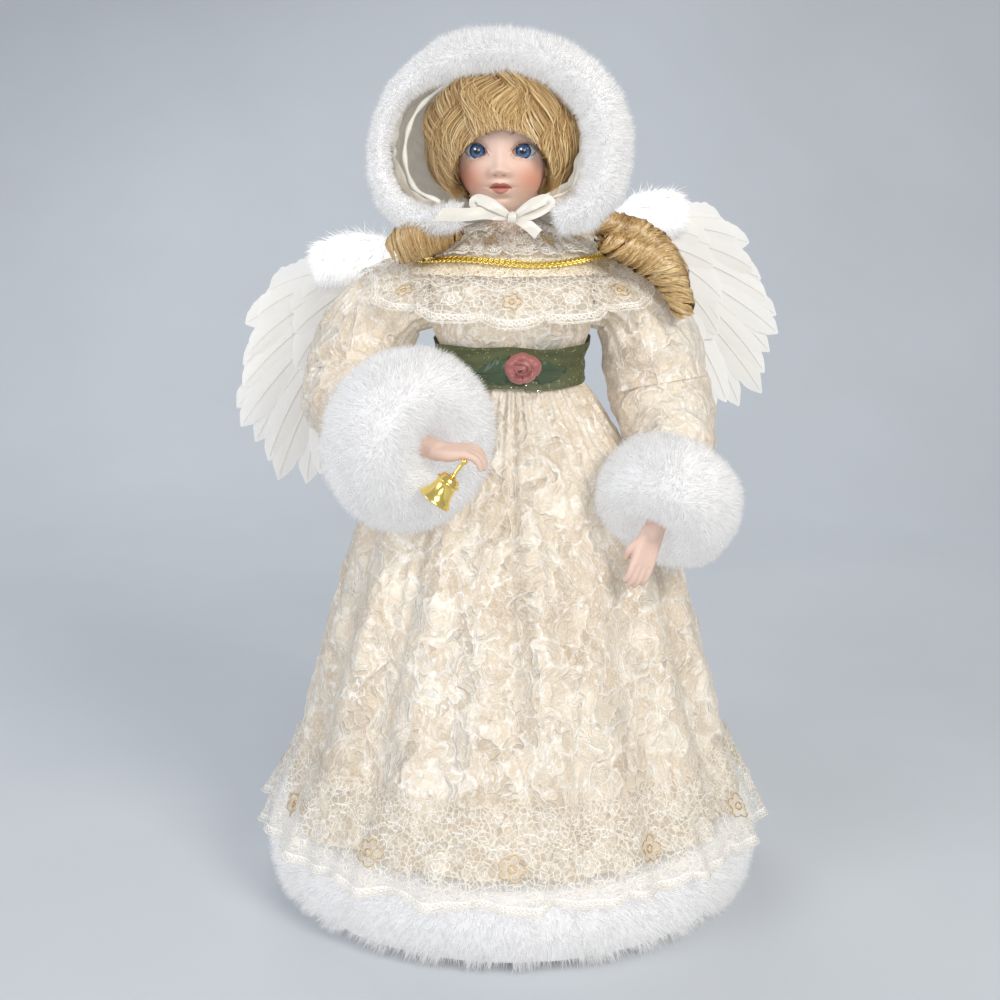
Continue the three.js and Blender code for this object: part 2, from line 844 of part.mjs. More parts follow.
// Head. The face is an egg shape with its features raised or sunk from it.
const headCentre = v3(headShift, -headForward, headZ);
// [across, up, half width, half height, rise] as shares of the head's half sizes
const faceFeatureShares = [
  [0, -0.42, 0.13, 0.1, 0.16], // nose tip
  [0, -0.24, 0.1, 0.2, 0.06], // nose bridge
  [0.14, -0.45, 0.1, 0.07, 0.05], // nostril wing, left
  [-0.14, -0.45, 0.1, 0.07, 0.05],
  [0, -0.6, 0.17, 0.05, 0.075], // upper lip
  [0, -0.7, 0.13, 0.05, 0.06], // lower lip
  [0, -0.655, 0.2, 0.02, -0.035], // mouth line
  [0, -0.93, 0.3, 0.16, 0.09], // chin
  [0.44, -0.1, 0.26, 0.15, -0.07], // eye hollow, left
  [-0.44, -0.1, 0.26, 0.15, -0.07],
  [0.55, -0.5, 0.33, 0.3, 0.07], // cheek, left
  [-0.55, -0.5, 0.33, 0.3, 0.07],
  [0, 0.25, 0.6, 0.25, 0.03], // brow
];

function facePoint(across, up, grow = 0) {
  const sideways = Math.sin(across);
  const height = Math.sin(up);
  const girth = Math.cos(up);
  const jaw = height < 0 ? 1 - 0.1 * height * height : 1;
  let x = headHalfWidth * sideways * girth * jaw;
  let y = -headHalfDepth * Math.cos(across) * girth;
  let z = headHalfHeight * height;
  if (y < 0) {
    for (const [fx, fz, wide, tall, rise] of faceFeatureShares) {
      const dx = (x / headHalfWidth - fx) / wide;
      const dz = (z / headHalfHeight - fz) / tall;
      y -= rise * headHalfDepth * Math.exp(-dx * dx - dz * dz);
    }
  }
  const outward = v3(x / headHalfWidth, y / headHalfDepth, z / headHalfHeight).normalize();
  return v3(x, y, z).addScaledVector(outward, grow);
}

const moveTo = (geometry, place) => geometry.translate(place.x, place.y, place.z);
const turnHead = (geometry) => moveTo(geometry.rotateZ(rad(headTurn)), headCentre);

// Heights of the head's rings as shares of its half height, closest at the mouth and nose
const skullLevelShares = [
  -0.97, -0.88, -0.78, -0.71, -0.655, -0.6, -0.53, -0.45, -0.36, -0.24, -0.1, 0.06, 0.28, 0.55, 0.8, 0.95,
];

function skull(grow = 0, columns = 28) {
  const rings = skullLevelShares.map((level) =>
    ring(columns, (turn) => {
      const angle = turn * turnsToRadians;
      return facePoint(angle - 0.55 * Math.sin(angle), Math.asin(level), grow);
    }),
  );
  return turnHead(loft(rings));
}

// Shoulder plate that sits on the body's neck, and the neck above it.
function neck(grow = 0) {
  const rows = [
    [neckZ + seatGap, neckSeatRadius],
    [neckZ + chinRise * 0.35, neckRadius],
    [chinZ, throatRadius],
    [chinZ + headHalfHeight * 0.4, throatRadius],
  ];
  const lean = (z) => clamp((z - neckZ) / (headHalfHeight * 0.7), 0, 1);
  return loft(
    rows.map(([z, radius]) =>
      ring(14, (turn) => {
        const spot = roundPoint(turn, radius + grow, z);
        return spot.add(v3(headCentre.x * lean(z), headCentre.y * lean(z) * 0.5, 0));
      }),
    ),
  );
}

function eyeSocket(side, grow = 0) {
  const front = facePoint(rad(25), Math.asin(-0.09)).y;
  const made = egg(
    v3((side * eyeSpacing) / 2, front, -0.09 * headHalfHeight),
    v3(eyeHalfWidth + grow, eyeDepth + grow, eyeHalfHeight + grow),
    10,
    6,
  );
  return turnHead(made);
}

function makeHead() {
  return cut(join(skull(), neck()), eyeSocket(1), eyeSocket(-1));
}

// An eyeball set in the socket, a little proud of the lids' plane.
function makeEye(side) {
  const front = facePoint(rad(25), Math.asin(-0.09)).y;
  const ballRadius = eyeHalfWidth * 1.35;
  const ball = egg(
    v3((side * eyeSpacing) / 2, front + ballRadius - 0.25 * eyeDepth, -0.09 * headHalfHeight),
    v3(ballRadius, ballRadius, ballRadius),
    10,
    6,
  );
  return common(turnHead(ball), eyeSocket(side, -seatGap));
}

// Wig: a wavy cap with a fringe, open round the face.
// The wig's thickness across, behind and above, as shares of wigThickness
const wigSwellShares = v3(1, 0.7, -0.1);
const wigCentre = v3(headShift, wigBack - headForward, headZ + wigLift);
function makeWig() {
  const half = v3(headHalfWidth, headHalfDepth, headHalfHeight).addScaledVector(wigSwellShares, wigThickness);
  const cap = new THREE.SphereGeometry(1, 24, 12);
  cap.rotateX(Math.PI / 2);
  const place = cap.attributes.position;
  for (let i = 0; i < place.count; i++) {
    const p = v3(0, 0, 0).fromBufferAttribute(place, i);
    const around = Math.atan2(p.x, -p.y);
    const wave = 1 + 0.022 * Math.sin(9 * around + 5 * p.z) * Math.hypot(p.x, p.y);
    p.multiply(half).multiplyScalar(wave);
    place.setXYZ(i, p.x, p.y, p.z);
  }
  cap.translate(wigCentre.x, wigCentre.y, wigCentre.z);
  const window = egg(
    v3(0, -headHalfDepth * 1.25, -headHalfHeight * 0.62),
    v3(headHalfWidth * 0.95, headHalfDepth * 1.1, headHalfHeight * 0.9),
    18,
    12,
  );
  const nape = box(
    v3(-2 * headHalfWidth, -2 * headHalfDepth, neckZ - headHalfHeight),
    v3(2 * headHalfWidth, 2 * headHalfDepth, chinZ + headHalfHeight * 0.12),
  );
  return cut(cap, skull(seatGap * 2), neck(seatGap * 2), turnHead(window), nape);
}

// Hood: velvet outside, satin inside, fur round the opening.
const hoodCentre = v3(headShift - hoodAside, 0, headZ - hoodDrop);
// [across, back, up, radius] of the fur roll, as shares of the hood's half sizes and the roll's radius
const furRollShares = [
  [-0.3, -0.84, -0.62, 0.5],
  [-0.6, -0.68, -0.7, 0.85],
  [-0.9, -0.48, -0.5, 0.72],
  [-1, -0.32, -0.02, 0.6],
  [-0.84, -0.24, 0.5, 0.75],
  [-0.42, -0.26, 0.84, 0.95],
  [0.14, -0.34, 0.9, 1],
  [0.6, -0.46, 0.75, 1],
  [0.92, -0.6, 0.36, 1],
  [0.96, -0.72, -0.1, 1],
  [0.84, -0.84, -0.54, 0.95],
  [0.54, -0.92, -0.66, 0.6],
];
const furRollPath = furRollShares.map(([across, back, up]) =>
  v3(across * hoodHalfWidth, back * hoodDepth, up * hoodHalfHeight).add(hoodCentre),
);

function furRoll(grow = 0) {
  const table = furRollShares.map((row, i) => [i / (furRollShares.length - 1), row[3]]);
  return sweep(furRollPath, (share) => hoodFurRadius * along(table, share) + grow, 8, 21);
}

function hoodEgg(inset) {
  return egg(hoodCentre, v3(hoodHalfWidth - inset, hoodDepth - inset, hoodHalfHeight - inset), 20, 12);
}

function hoodLayer(outerInset, innerInset) {
  const low = neckZ + seatGap * 2 + capeThickness + overrun;
  const reach = 2 * hoodHalfWidth;
  const below = box(v3(-reach, -reach, low - reach), v3(reach, reach, low));
  const front = box(v3(-reach, -2 * reach, -reach), v3(reach, 0, reach));
  front.rotateZ(-Math.atan2(0.48 * hoodDepth, 1.9 * hoodHalfWidth));
  front.translate(hoodCentre.x, hoodCentre.y - 0.5 * hoodDepth, hoodCentre.z);
  const ruffleRadius = lerp(neckRadius, capeHalfWidth, ruffleReachShare) + velvet;
  const collar = rod(v3(0, 0, neckZ), v3(0, 0, chinZ), ruffleRadius, 16);
  return cut(hoodEgg(outerInset), hoodEgg(innerInset), below, front, collar, furRoll(seatGap));
}

const makeHoodShell = () => hoodLayer(0, hoodWall);
const makeHoodLining = () => hoodLayer(hoodWall + seatGap, hoodWall + seatGap + liningThickness);

// Side curls: a rolled lock whose turns show as ribs along it.
function makeCurl(path, radius, turns) {
  const stations = turns * 3 + 1;
  return sweep(
    path,
    (share) => {
      const taper = Math.sin(Math.PI * (0.16 + 0.72 * share)) ** 0.6;
      return radius * taper * (1 + 0.07 * Math.cos(turns * share * turnsToRadians));
    },
    8,
    stations,
  );
}

const fromCheek = ([out, back, up]) =>
  v3(out, back - headForward - headHalfDepth * 0.7, chinZ - chinRise * 0.9 + up);

// Satin bow at the throat: a knot, two flat loops and a long tail.
const bowY = -(headForward + headHalfDepth * 1.22);
const bowZ = chinZ + bowLift;
function ribbonStrip(path, width, thickness) {
  const curve = new THREE.CatmullRomCurve3(path);
  return loft(
    steps(path.length * 3 - 2, (share) => {
      const p = curve.getPoint(share);
      const heading = curve.getTangent(share);
      const across = v3(0, 0, 0).crossVectors(heading, v3(0, 1, 0)).normalize().multiplyScalar(width / 2);
      const deep = v3(0, 0, 0).crossVectors(across, heading).normalize().multiplyScalar(thickness / 2);
      return [
        p.clone().add(across).add(deep),
        p.clone().sub(across).add(deep),
        p.clone().sub(across).sub(deep),
        p.clone().add(across).sub(deep),
      ];
    }),
  );
}

function makeBow() {
  const knotHalf = v3(0.5, 0.42, 0.5).multiplyScalar(bowRibbonWidth);
  const knot = egg(v3(0, bowY, bowZ), knotHalf, 12, 8);
  const loopOf = (side) =>
    ribbonStrip(
      [
        v3(0, bowY, bowZ),
        v3(side * bowLoopLength * 0.5, bowY - ribbonThickness, bowZ + bowLoopLength * 0.26),
        v3(side * bowLoopLength, bowY, bowZ + bowLoopLength * 0.4),
      ],
      bowRibbonWidth,
      ribbonThickness * 2,
    );
  const tail = ribbonStrip(
    [
      v3(0, bowY, bowZ),
      v3(-bowTailLength * 0.55, bowY - ribbonThickness * 1.5, bowZ + bowTailLength * 0.02),
      v3(-bowTailLength, bowY - ribbonThickness, bowZ + bowTailLength * 0.04),
    ],
    bowRibbonWidth,
    ribbonThickness,
  );
  return join(knot, loopOf(1), loopOf(-1), tail);
}

// Arms. Each path runs from the armhole to the wrist; side is -1 for the right arm.
const armholeCentre = (side) => v3(side * armholeReach, 0, shoulderZ);
const fromShoulder = ([x, y, z]) => v3(x, y, shoulderZ + z);
const arms = {
  right: {
    side: -1,
    elbow: fromShoulder(rightElbow),
    cuff: fromShoulder(rightCuffPlace),
    cuffAxis: v3(...rightCuffHeading).normalize(),
    cuffRadius: rightCuffRadius,
    reach: v3(...rightHandHeading).normalize(),
  },
  left: {
    side: 1,
    elbow: fromShoulder(leftElbow),
    cuff: fromShoulder(leftCuffPlace),
    cuffAxis: v3(...leftCuffHeading).normalize(),
    cuffRadius: leftCuffRadius,
    reach: v3(...leftHandHeading).normalize(),
  },
};
const sleeveEndShare = 0.12; // how far past the cuff's middle the sleeve ends, of the cuff's length

function sleevePath(arm) {
  const start = armholeCentre(arm.side);
  const end = arm.cuff.clone().addScaledVector(arm.cuffAxis, cuffLength * sleeveEndShare);
  const back = arm.cuff.clone().addScaledVector(arm.cuffAxis, -cuffLength * 0.32);
  const bend = arm.elbow;
  return [
    start,
    v3(lerp(start.x, bend.x, 0.42), 0, start.z - sleeveHeadDrop),
    v3(lerp(start.x, bend.x, 0.82), 0, lerp(start.z, bend.z, 0.42)),
    bend.clone().add(v3(0, elbowBulge, elbowBulge)),
    bend.clone().lerp(back, 0.36).add(v3(arm.side * elbowBulge, 0, -elbowBulge)),
    bend.clone().lerp(back, 0.74),
    back,
    end,
  ];
}

function sleeveRings(arm, grow) {
  return limbRings(sleevePath(arm), sleeveRadii, 12, 10, v3(arm.side, 0, 0), grow);
}

const sleeveSolid = (arm, grow = 0) => loft(sleeveRings(arm, grow));

// The cloth tube of the sleeve, open at the armhole and in the cuff.
function makeSleeve(arm) {
  const outer = sleeveRings(arm, 0);
  const inner = sleeveRings(arm, -sleeveWall);
  return hoop(outer[0].map((_, i) => [...outer.map((r) => r[i]), ...inner.map((r) => r[i]).reverse()]));
}

function cuffSolid(arm) {
  const { cuff, cuffAxis, cuffRadius } = arm;
  const side = v3(0, 0, 0).crossVectors(cuffAxis, v3(0, 0, 1)).normalize();
  const up = v3(0, 0, 0).crossVectors(side, cuffAxis).normalize();
  const bore = wristRadius + swingGap;
  const middle = (cuffRadius + bore) / 2;
  const thick = (cuffRadius - bore) / 2;
  return hoop(
    ring(16, (turn) =>
      ring(8, (round) => {
        const angle = round * turnsToRadians;
        const radius = middle + thick * Math.cos(angle);
        const alongAxis = (cuffLength / 2) * Math.sin(angle);
        return cuff
          .clone()
          .addScaledVector(cuffAxis, alongAxis)
          .addScaledVector(side, radius * Math.cos(turn * turnsToRadians))
          .addScaledVector(up, radius * Math.sin(turn * turnsToRadians));
      }),
    ),
  );
}

const makeCuff = (arm, gown) => cut(cuffSolid(arm), grown(sleeveSolid(arm)), grown(gown, seatGap * 2));

// The padded wire core of the arm, from the pivot on the shoulder wire to the porcelain forearm.
const forearmStart = (arm) => arm.cuff.clone().addScaledVector(arm.cuffAxis, -cuffLength * 0.3);
function makeArmCore(arm, hand) {
  const from = armholeCentre(arm.side).add(v3(arm.side * seatGap, 0, 0));
  const path = [
    from,
    from.clone().add(v3(arm.side * armCoreRadius, 0, 0)),
    ...sleevePath(arm).slice(2, 6),
    forearmStart(arm).addScaledVector(arm.cuffAxis, -seatGap),
  ];
  const pivot = armholeCentre(arm.side);
  const bore = rod(
    pivot.clone().add(v3(-arm.side * overrun, 0, 0)),
    pivot.clone().add(v3(arm.side * (armCoreRadius + seatGap), 0, 0)),
    shoulderWireRadius + seatGap,
    8,
  );
  const rings = limbRings(path, [armCoreRadius, armCoreRadius], 8, 9, v3(arm.side, 0, 0));
  return cut(loft(rings), bore, grown(hand));
}

// A finger or thumb as a bent, tapering roll.
function finger(root, heading, curlTowards, length, radius) {
  const at = (ahead, bent) =>
    root.clone().addScaledVector(heading, length * ahead).addScaledVector(curlTowards, length * bent);
  return sweep([root, at(0.5, 0.08), at(0.85, 0.42)], (share) => radius * (1 - 0.35 * share * share), 5, 4);
}

// Porcelain forearm and hand: the palm faces palmWay, the thumb lies on thumbWay's side.
function makeHand(arm, palmWay, thumbWay, curl) {
  const axis = arm.cuffAxis;
  const start = forearmStart(arm);
  const wrist = start.clone().addScaledVector(axis, cuffLength * 0.86);
  const { reach } = arm;
  const across = v3(0, 0, 0).crossVectors(reach, palmWay).normalize();
  const inward = v3(0, 0, 0).crossVectors(across, reach).normalize();
  if (inward.dot(palmWay) < 0) inward.negate();
  const palmEnd = wrist.clone().addScaledVector(reach, palmLength);
  const forearm = sweep([start, start.clone().lerp(wrist, 0.5), wrist], () => wristRadius * 0.86, 10, 5);
  const section = (centre, half, thick) =>
    ring(10, (turn) =>
      centre
        .clone()
        .addScaledVector(across, half * Math.cos(turn * turnsToRadians))
        .addScaledVector(inward, thick * Math.sin(turn * turnsToRadians)),
    );
  const heel = wrist.clone().addScaledVector(axis, -wristRadius * 0.6);
  const palmMiddle = wrist.clone().addScaledVector(reach, palmLength * 0.35);
  const palm = loft([
    section(heel, wristRadius * 0.84, wristRadius * 0.8),
    section(palmMiddle, palmHalfWidth * 0.9, palmHalfWidth * 0.55),
    section(palmEnd, palmHalfWidth, palmHalfWidth * 0.42),
  ]);
  const fingers = steps(4, (share, i) => {
    const off = (share - 0.5) * 2 * (palmHalfWidth - fingerRadius * 0.9);
    const length = fingerLength * [0.88, 1, 0.97, 0.8][i];
    const root = palmEnd.clone().addScaledVector(reach, -fingerRadius * 1.5).addScaledVector(across, off);
    const bent = reach.clone().lerp(inward, curl).normalize();
    return finger(root, bent, inward, length, fingerRadius);
  });
  const thumbRoot = wrist
    .clone()
    .addScaledVector(reach, palmLength * 0.3)
    .addScaledVector(across, thumbWay * palmHalfWidth * 0.6);
  const thumbHeading = reach
    .clone()
    .addScaledVector(inward, 0.7)
    .addScaledVector(across, thumbWay * 0.25)
    .normalize();
  const thumbBend = across.clone().multiplyScalar(-thumbWay);
  const thumb = finger(thumbRoot, thumbHeading, thumbBend, fingerLength * 0.9, fingerRadius * 1.15);
  return join(forearm, palm, ...fingers, thumb);
}

// Bell: its crown is at the origin and its mouth points down until it is tilted in the XZ plane.
const bellCrown = fromShoulder(bellCrownPlace);
const placeBell = (geometry) =>
  geometry.rotateY(rad(bellTilt)).translate(bellCrown.x, bellCrown.y, bellCrown.z);
// [share of the mouth's radius, share of the length] down the outside
const bellProfileShares = [
  [0.5, 0.03],
  [0.62, 0.2],
  [0.74, 0.24],
  [0.64, 0.29],
  [0.72, 0.68],
  [1, 1],
];
const bellRoof = bellWall * 1.5;

function makeBell() {
  const outside = bellProfileShares.map(([out, down]) => [out * bellMouthRadius, -down * bellLength]);
  const inside = outside
    .filter((_, i) => i !== 0 && i !== 2)
    .reverse()
    .map(([radius, z]) => [radius - bellWall, Math.min(z, -bellRoof)]);
  const points = [[0, 0], ...outside, ...inside, [0, -bellRoof]];
  const profile = points.map(([radius, z]) => new THREE.Vector2(Math.max(radius, 0), z));
  const body = new THREE.LatheGeometry(profile.reverse(), 16).rotateX(Math.PI / 2);
  const handle = rod(v3(0, 0, -bellWall), v3(0, 0, bellHandleLength), bellWall * 1.3, 6);
  const knob = egg(v3(0, 0, bellHandleLength), v3(bellWall * 2.2, bellWall * 2.2, bellWall * 1.8), 8, 5);
  return placeBell(join(body, handle, knob));
}

// The clapper hangs from the roof by an eye, and at rest leans on the lower wall.
const clapperPivotDrop = bellRoof + clapperRadius * 0.7;
function innerBellRadius(depth) {
  const table = bellProfileShares.map(([out, down]) => [down * bellLength, out * bellMouthRadius - bellWall]);
  return along(table, depth);
}
const clapperReach = clapperLength - clapperRadius;
const clapperSwing = Math.asin(
  (innerBellRadius(clapperPivotDrop + clapperReach * 0.88) - clapperRadius - seatGap * 2) / clapperReach,
);

function makeClapper() {
  const stem = rod(v3(0, 0, -clapperReach), v3(0, 0, clapperRadius * 0.35), bellWall * 0.6, 6);
  const ball = egg(v3(0, 0, -clapperReach), v3(clapperRadius, clapperRadius, clapperRadius), 8, 6);
  const made = join(stem, ball);
  made.rotateY(-clapperSwing).translate(0, 0, -clapperPivotDrop);
  return placeBell(made);
}

// Wings. In a wing's own frame u runs outwards from its hinge pin and w up; depth is behind it.
const wingZ = lerp(waistZ, neckZ, 0.45);

// A flat strip laid in a wing's plane: path points are (u, w), the section is an oval.
function wingStrip(path, halfWidthAt, halfDepth, depth, stations) {
  const curve = new THREE.CatmullRomCurve3(path.map(([u, w]) => v3(u, depth, w)));
  return loft(
    steps(stations, (share) => {
      const centre = curve.getPoint(share);
      const heading = curve.getTangent(share);
      const across = v3(-heading.z, 0, heading.x);
      return ring(6, (turn) =>
        centre
          .clone()
          .addScaledVector(across, halfWidthAt(share) * Math.cos(turn * turnsToRadians))
          .add(v3(0, halfDepth * Math.sin(turn * turnsToRadians), 0)),
      );
    }),
  );
}

// One feather: a thin blade with a raised shaft and a rounded tip, root at (u, w).
function feather(u, w, degrees, length, width, depth) {
  const outlineShares = [
    [0, 0.14],
    [0.3, 0.75],
    [0.66, 1],
    [0.9, 0.7],
    [1, 0.2],
  ];
  const rings = outlineShares.map(([share, wide]) => {
    const angle = rad(degrees - featherBend * share * share);
    const centre = v3(u + length * share * Math.cos(angle), depth, w + length * share * Math.sin(angle));
    const across = v3(-Math.sin(angle), 0, Math.cos(angle));
    const half = (width / 2) * wide;
    return [
      centre.clone().addScaledVector(across, half),
      centre.clone().add(v3(0, -featherThickness, 0)),
      centre.clone().addScaledVector(across, -half),
    ];
  });
  return loft(rings);
}

// [degrees from level, share of the longest feather] down the wing
const primaryShares = [
  [-8, 0.45],
  [-20, 0.59],
  [-30, 0.71],
  [-39, 0.83],
  [-47, 0.93],
  [-55, 1],
  [-62, 0.95],
  [-68, 0.86],
  [-76, 0.72],
];
const featherStagger = featherThickness * 1.1; // every second feather lies this much in front
const featherRowThickness = featherStagger + featherThickness;
const bindingHalfDepth = featherRowThickness * 0.45;

// Depth of a feather row whose binding is seated on a face this far in front of the card's middle.
const rowDepth = (face) => featherStagger / 2 - bindingHalfDepth - seatGap - face;
const primaryDepth = rowDepth(wingCardThickness / 2);
const covertDepth = rowDepth(featherRowThickness - primaryDepth);
const downDepth = covertDepth - featherRowThickness - downHalfDepth + featherStagger;

function featherRow(count, lengthScale, widthScale, depth, rootShift) {
  const feathers = steps(count, (share, i) => {
    const at = share * (primaryShares.length - 1);
    const table = (column) => along(primaryShares.map((row, k) => [k, row[column]]), at);
    const angle = table(0);
    const u = quillReach + rootShift + quillFan * Math.cos(rad(angle));
    const w = quillFanHeight * Math.sin(rad(angle)) + quillRise;
    const layer = depth - (i % 2) * featherStagger;
    return feather(u, w, angle, longFeather * table(1) * lengthScale, featherWidth * widthScale, layer);
  });
  const binding = wingStrip(
    steps(4, (share) => {
      const angle = rad(lerp(primaryShares[0][0], primaryShares.at(-1)[0], share));
      return [
        quillReach + rootShift + (quillFan + bindingStep) * Math.cos(angle),
        (quillFanHeight + bindingStep) * Math.sin(angle) + quillRise,
      ];
    }),
    () => bindingHalfWidth,
    bindingHalfDepth,
    depth - featherStagger / 2,
    5,
  );
  return join(binding, ...feathers);
}

// Stiff card that carries the quills, with its edge rolled into a knuckle round the hinge pin.
function wingCard() {
  const half = knuckleLength / 2;
  const outline = new THREE.Shape();
  outline.moveTo(0, -half * 0.6);
  outline.lineTo(knuckleRadius * 2, -half * 0.6);
  outline.lineTo(wingCardLength * 0.7, -half * 0.6);
  outline.quadraticCurveTo(wingCardLength, -half * 0.4, wingCardLength, quillRise);
  outline.quadraticCurveTo(wingCardLength * 0.95, quillRise + half, wingCardLength * 0.7, quillRise + half);
  outline.lineTo(knuckleRadius * 2, half * 0.6);
  outline.lineTo(0, half * 0.6);
  outline.closePath();
  const options = { depth: wingCardThickness, bevelEnabled: false, curveSegments: 6 };
  const plate = new THREE.ExtrudeGeometry(outline, options);
  return plate.rotateX(Math.PI / 2).translate(0, wingCardThickness / 2, 0);
}

function knuckle() {
  return rod(v3(0, 0, -knuckleLength / 2), v3(0, 0, knuckleLength / 2), knuckleRadius, 12);
}

const pinBore = (reach) => rod(v3(0, 0, -reach), v3(0, 0, reach), wingPinRadius + seatGap, 10);

// Down: a soft crest along the top of the wing and over the quills.
function wingDown() {
  const halfWidth = (share) => lerp(downRootHalfWidth, downTipHalfWidth, share);
  return wingStrip(downPath, halfWidth, downHalfDepth, downDepth, 8);
}

function placeWing(geometry, side, sweepBack, roll) {
  geometry.rotateY(-rad(roll));
  geometry.rotateZ(rad(sweepBack));
  if (side < 0) geometry.scale(-1, 1, 1);
  return geometry.translate(side * wingPinReach, wingPlane, wingZ);
}

// A mirrored geometry has its faces turned back outwards here.
function turnedOut(geometry) {
  const solid = geometry.index ? geometry : mergeVertices(geometry);
  const place = solid.attributes.position;
  const points = Array.from({ length: place.count }, (_, i) => v3(0, 0, 0).fromBufferAttribute(place, i));
  return faceOut(points, Array.from(solid.index.array));
}

function makeWing(side, sweepBack, roll) {
  const primaries = featherRow(featherCount, 1, 1, primaryDepth, 0);
  const coverts = featherRow(covertCount, covertLengthShare, covertWidthShare, covertDepth, -covertStep);
  const down = cut(wingDown(), grown(coverts));
  const upright = (geometry) => geometry.rotateY(rad(roll));
  const card = cut(join(wingCard(), upright(knuckle())), upright(pinBore(knuckleLength)));
  const place = (geometry) => turnedOut(placeWing(geometry, side, sweepBack, roll));
  return { card: place(card), primaries: place(primaries), coverts: place(coverts), down: place(down) };
}

const wingPin = (side) => {
  const reach = knuckleLength / 2 + bracketLug + seatGap * 2;
  const x = side * wingPinReach;
  return rod(v3(x, wingPlane, wingZ - reach), v3(x, wingPlane, wingZ + reach), wingPinRadius, 10);
};

// Back plate sewn to the bodice, with a lug over and under the knuckles.
function makeBracket() {
  const half = knuckleLength / 2 + seatGap + bracketLug;
  const wide = wingPinReach + knuckleRadius;
  const face = wingPlane - knuckleRadius - swingGap;
  const plate = box(v3(-wide, chestHalfDepth - bracketSeat, wingZ - half), v3(wide, face, wingZ + half));
  const lugOf = (up) => {
    const near = up * (half - bracketLug);
    const far = up * half;
    return box(
      v3(-wide, face - overrun, wingZ + Math.min(near, far)),
      v3(wide, wingPlane + knuckleRadius, wingZ + Math.max(near, far)),
    );
  };
  const boreAt = (side) => pinBore(half + overrun).translate(side * wingPinReach, wingPlane, wingZ);
  const bodyRing = (row) => ring(bodyColumns, (turn) => bodyPoint(turn, row.z, bodySkin + seatGap));
  const body = loft(torsoRows.map(bodyRing));
  return cut(join(plate, lugOf(1), lugOf(-1)), boreAt(1), boreAt(-1), body);
}

// Assembly
const fur = furRoll();
const cape = makeCape();
const bertha = makeBertha();
const braid = makeBraid();
const ruffle = makeRuffle();
const wig = makeWig();
const skin = makeHead();
const hoodFur = cut(fur, wig, grown(wig, seatGap * 2), skull(seatGap * 4, 18), neck(seatGap * 3));
const hoodShell = makeHoodShell();

add("tree_cone", makeCone(), materials.card);
add("torso", makeTorso(), materials.stuffing);
add("shoulder_wire", makeShoulderWire(), materials.wire);
add("petticoat", makePetticoat(), materials.netting);
const skirt = makeSkirt();
add("skirt", skirt, materials.velvet);
add("hem_fur", makeHemFur(), materials.fur);
add("hem_lace", makeHemLace(), materials.lace);
add("bodice", makeBodice(), materials.velvet);
add("cape", cape, materials.yoke);
add("bertha_lace", bertha, materials.lace);
add("gold_braid", braid, materials.goldBraid);
add("neck_ruffle", ruffle, materials.lace);
add("sash", makeSash(), materials.sash);
const leaves = [makeLeaf(-1), makeLeaf(1)];
const rose = cut(makeRose(), ...leaves.map((leaf) => grown(leaf)));
add("sash_rose", rose, materials.rose);
add("sash_leaf_right", leaves[0], materials.leaf);
add("sash_leaf_left", leaves[1], materials.leaf);
add("head", skin, materials.porcelain);
add("right_eye", makeEye(-1), materials.eye);
add("left_eye", makeEye(1), materials.eye);
add("wig", wig, materials.hair);
add("hood_shell", hoodShell, materials.velvet);
add("hood_lining", makeHoodLining(), materials.satin);
add("hood_fur", hoodFur, materials.fur);
const bow = cut(makeBow(), grown(hoodFur), grown(skin), grown(ruffle));
add("neck_bow", bow, materials.bow);
const curl = (path, radius, arm) =>
  cut(
    makeCurl(path.map(fromCheek), radius, curlTurns),
    grown(hoodFur, seatGap * 2),
    grown(hoodShell, seatGap * 2),
    clothMound(seatGap * 2),
    grown(ruffle, seatGap * 2),
    grown(braid, seatGap * 2),
    grown(sleeveSolid(arm), swingGap),
  );
add("right_curl", curl(rightCurlPath, rightCurlRadius, arms.right), materials.hair);
add("left_curl", curl(leftCurlPath, leftCurlRadius, arms.left), materials.hair);

const bell = makeBell();
for (const [name, arm] of Object.entries(arms)) {
  const hand =
    name === "right"
      ? cut(makeHand(arm, v3(0.1, 0.2, -1), 1, 0.75), grown(bell))
      : makeHand(arm, v3(-0.5, 0.8, -0.2), -1, 0.25);
  add(name + "_sleeve", makeSleeve(arm), materials.velvet);
  add(name + "_arm_core", makeArmCore(arm, hand), materials.stuffing);
  add(name + "_cuff", makeCuff(arm, skirt), materials.fur);
  add(name + "_hand", hand, materials.porcelain);
}
add("bell", bell, materials.gold);
add("bell_clapper", makeClapper(), materials.gold);

add("wing_bracket", makeBracket(), materials.card);
for (const [name, side, sweepBack, roll] of [
  ["right", -1, rightWingSweep, rightWingRoll],
  ["left", 1, leftWingSweep, leftWingRoll],
]) {
  const wing = makeWing(side, sweepBack, roll);
  add(name + "_wing_pin", wingPin(side), materials.wire);
  add(name + "_wing_card", wing.card, materials.card);
  add(name + "_wing_primaries", wing.primaries, materials.feather);
  add(name + "_wing_coverts", wing.coverts, materials.feather);
  add(name + "_wing_down", wing.down, materials.feather);
}

export default angel;
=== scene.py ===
"""Angel tree topper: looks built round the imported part.

Shapes are in millimetres until they become meshes."""

import math

import bpy
import numpy as np
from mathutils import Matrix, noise
from mathutils import Vector


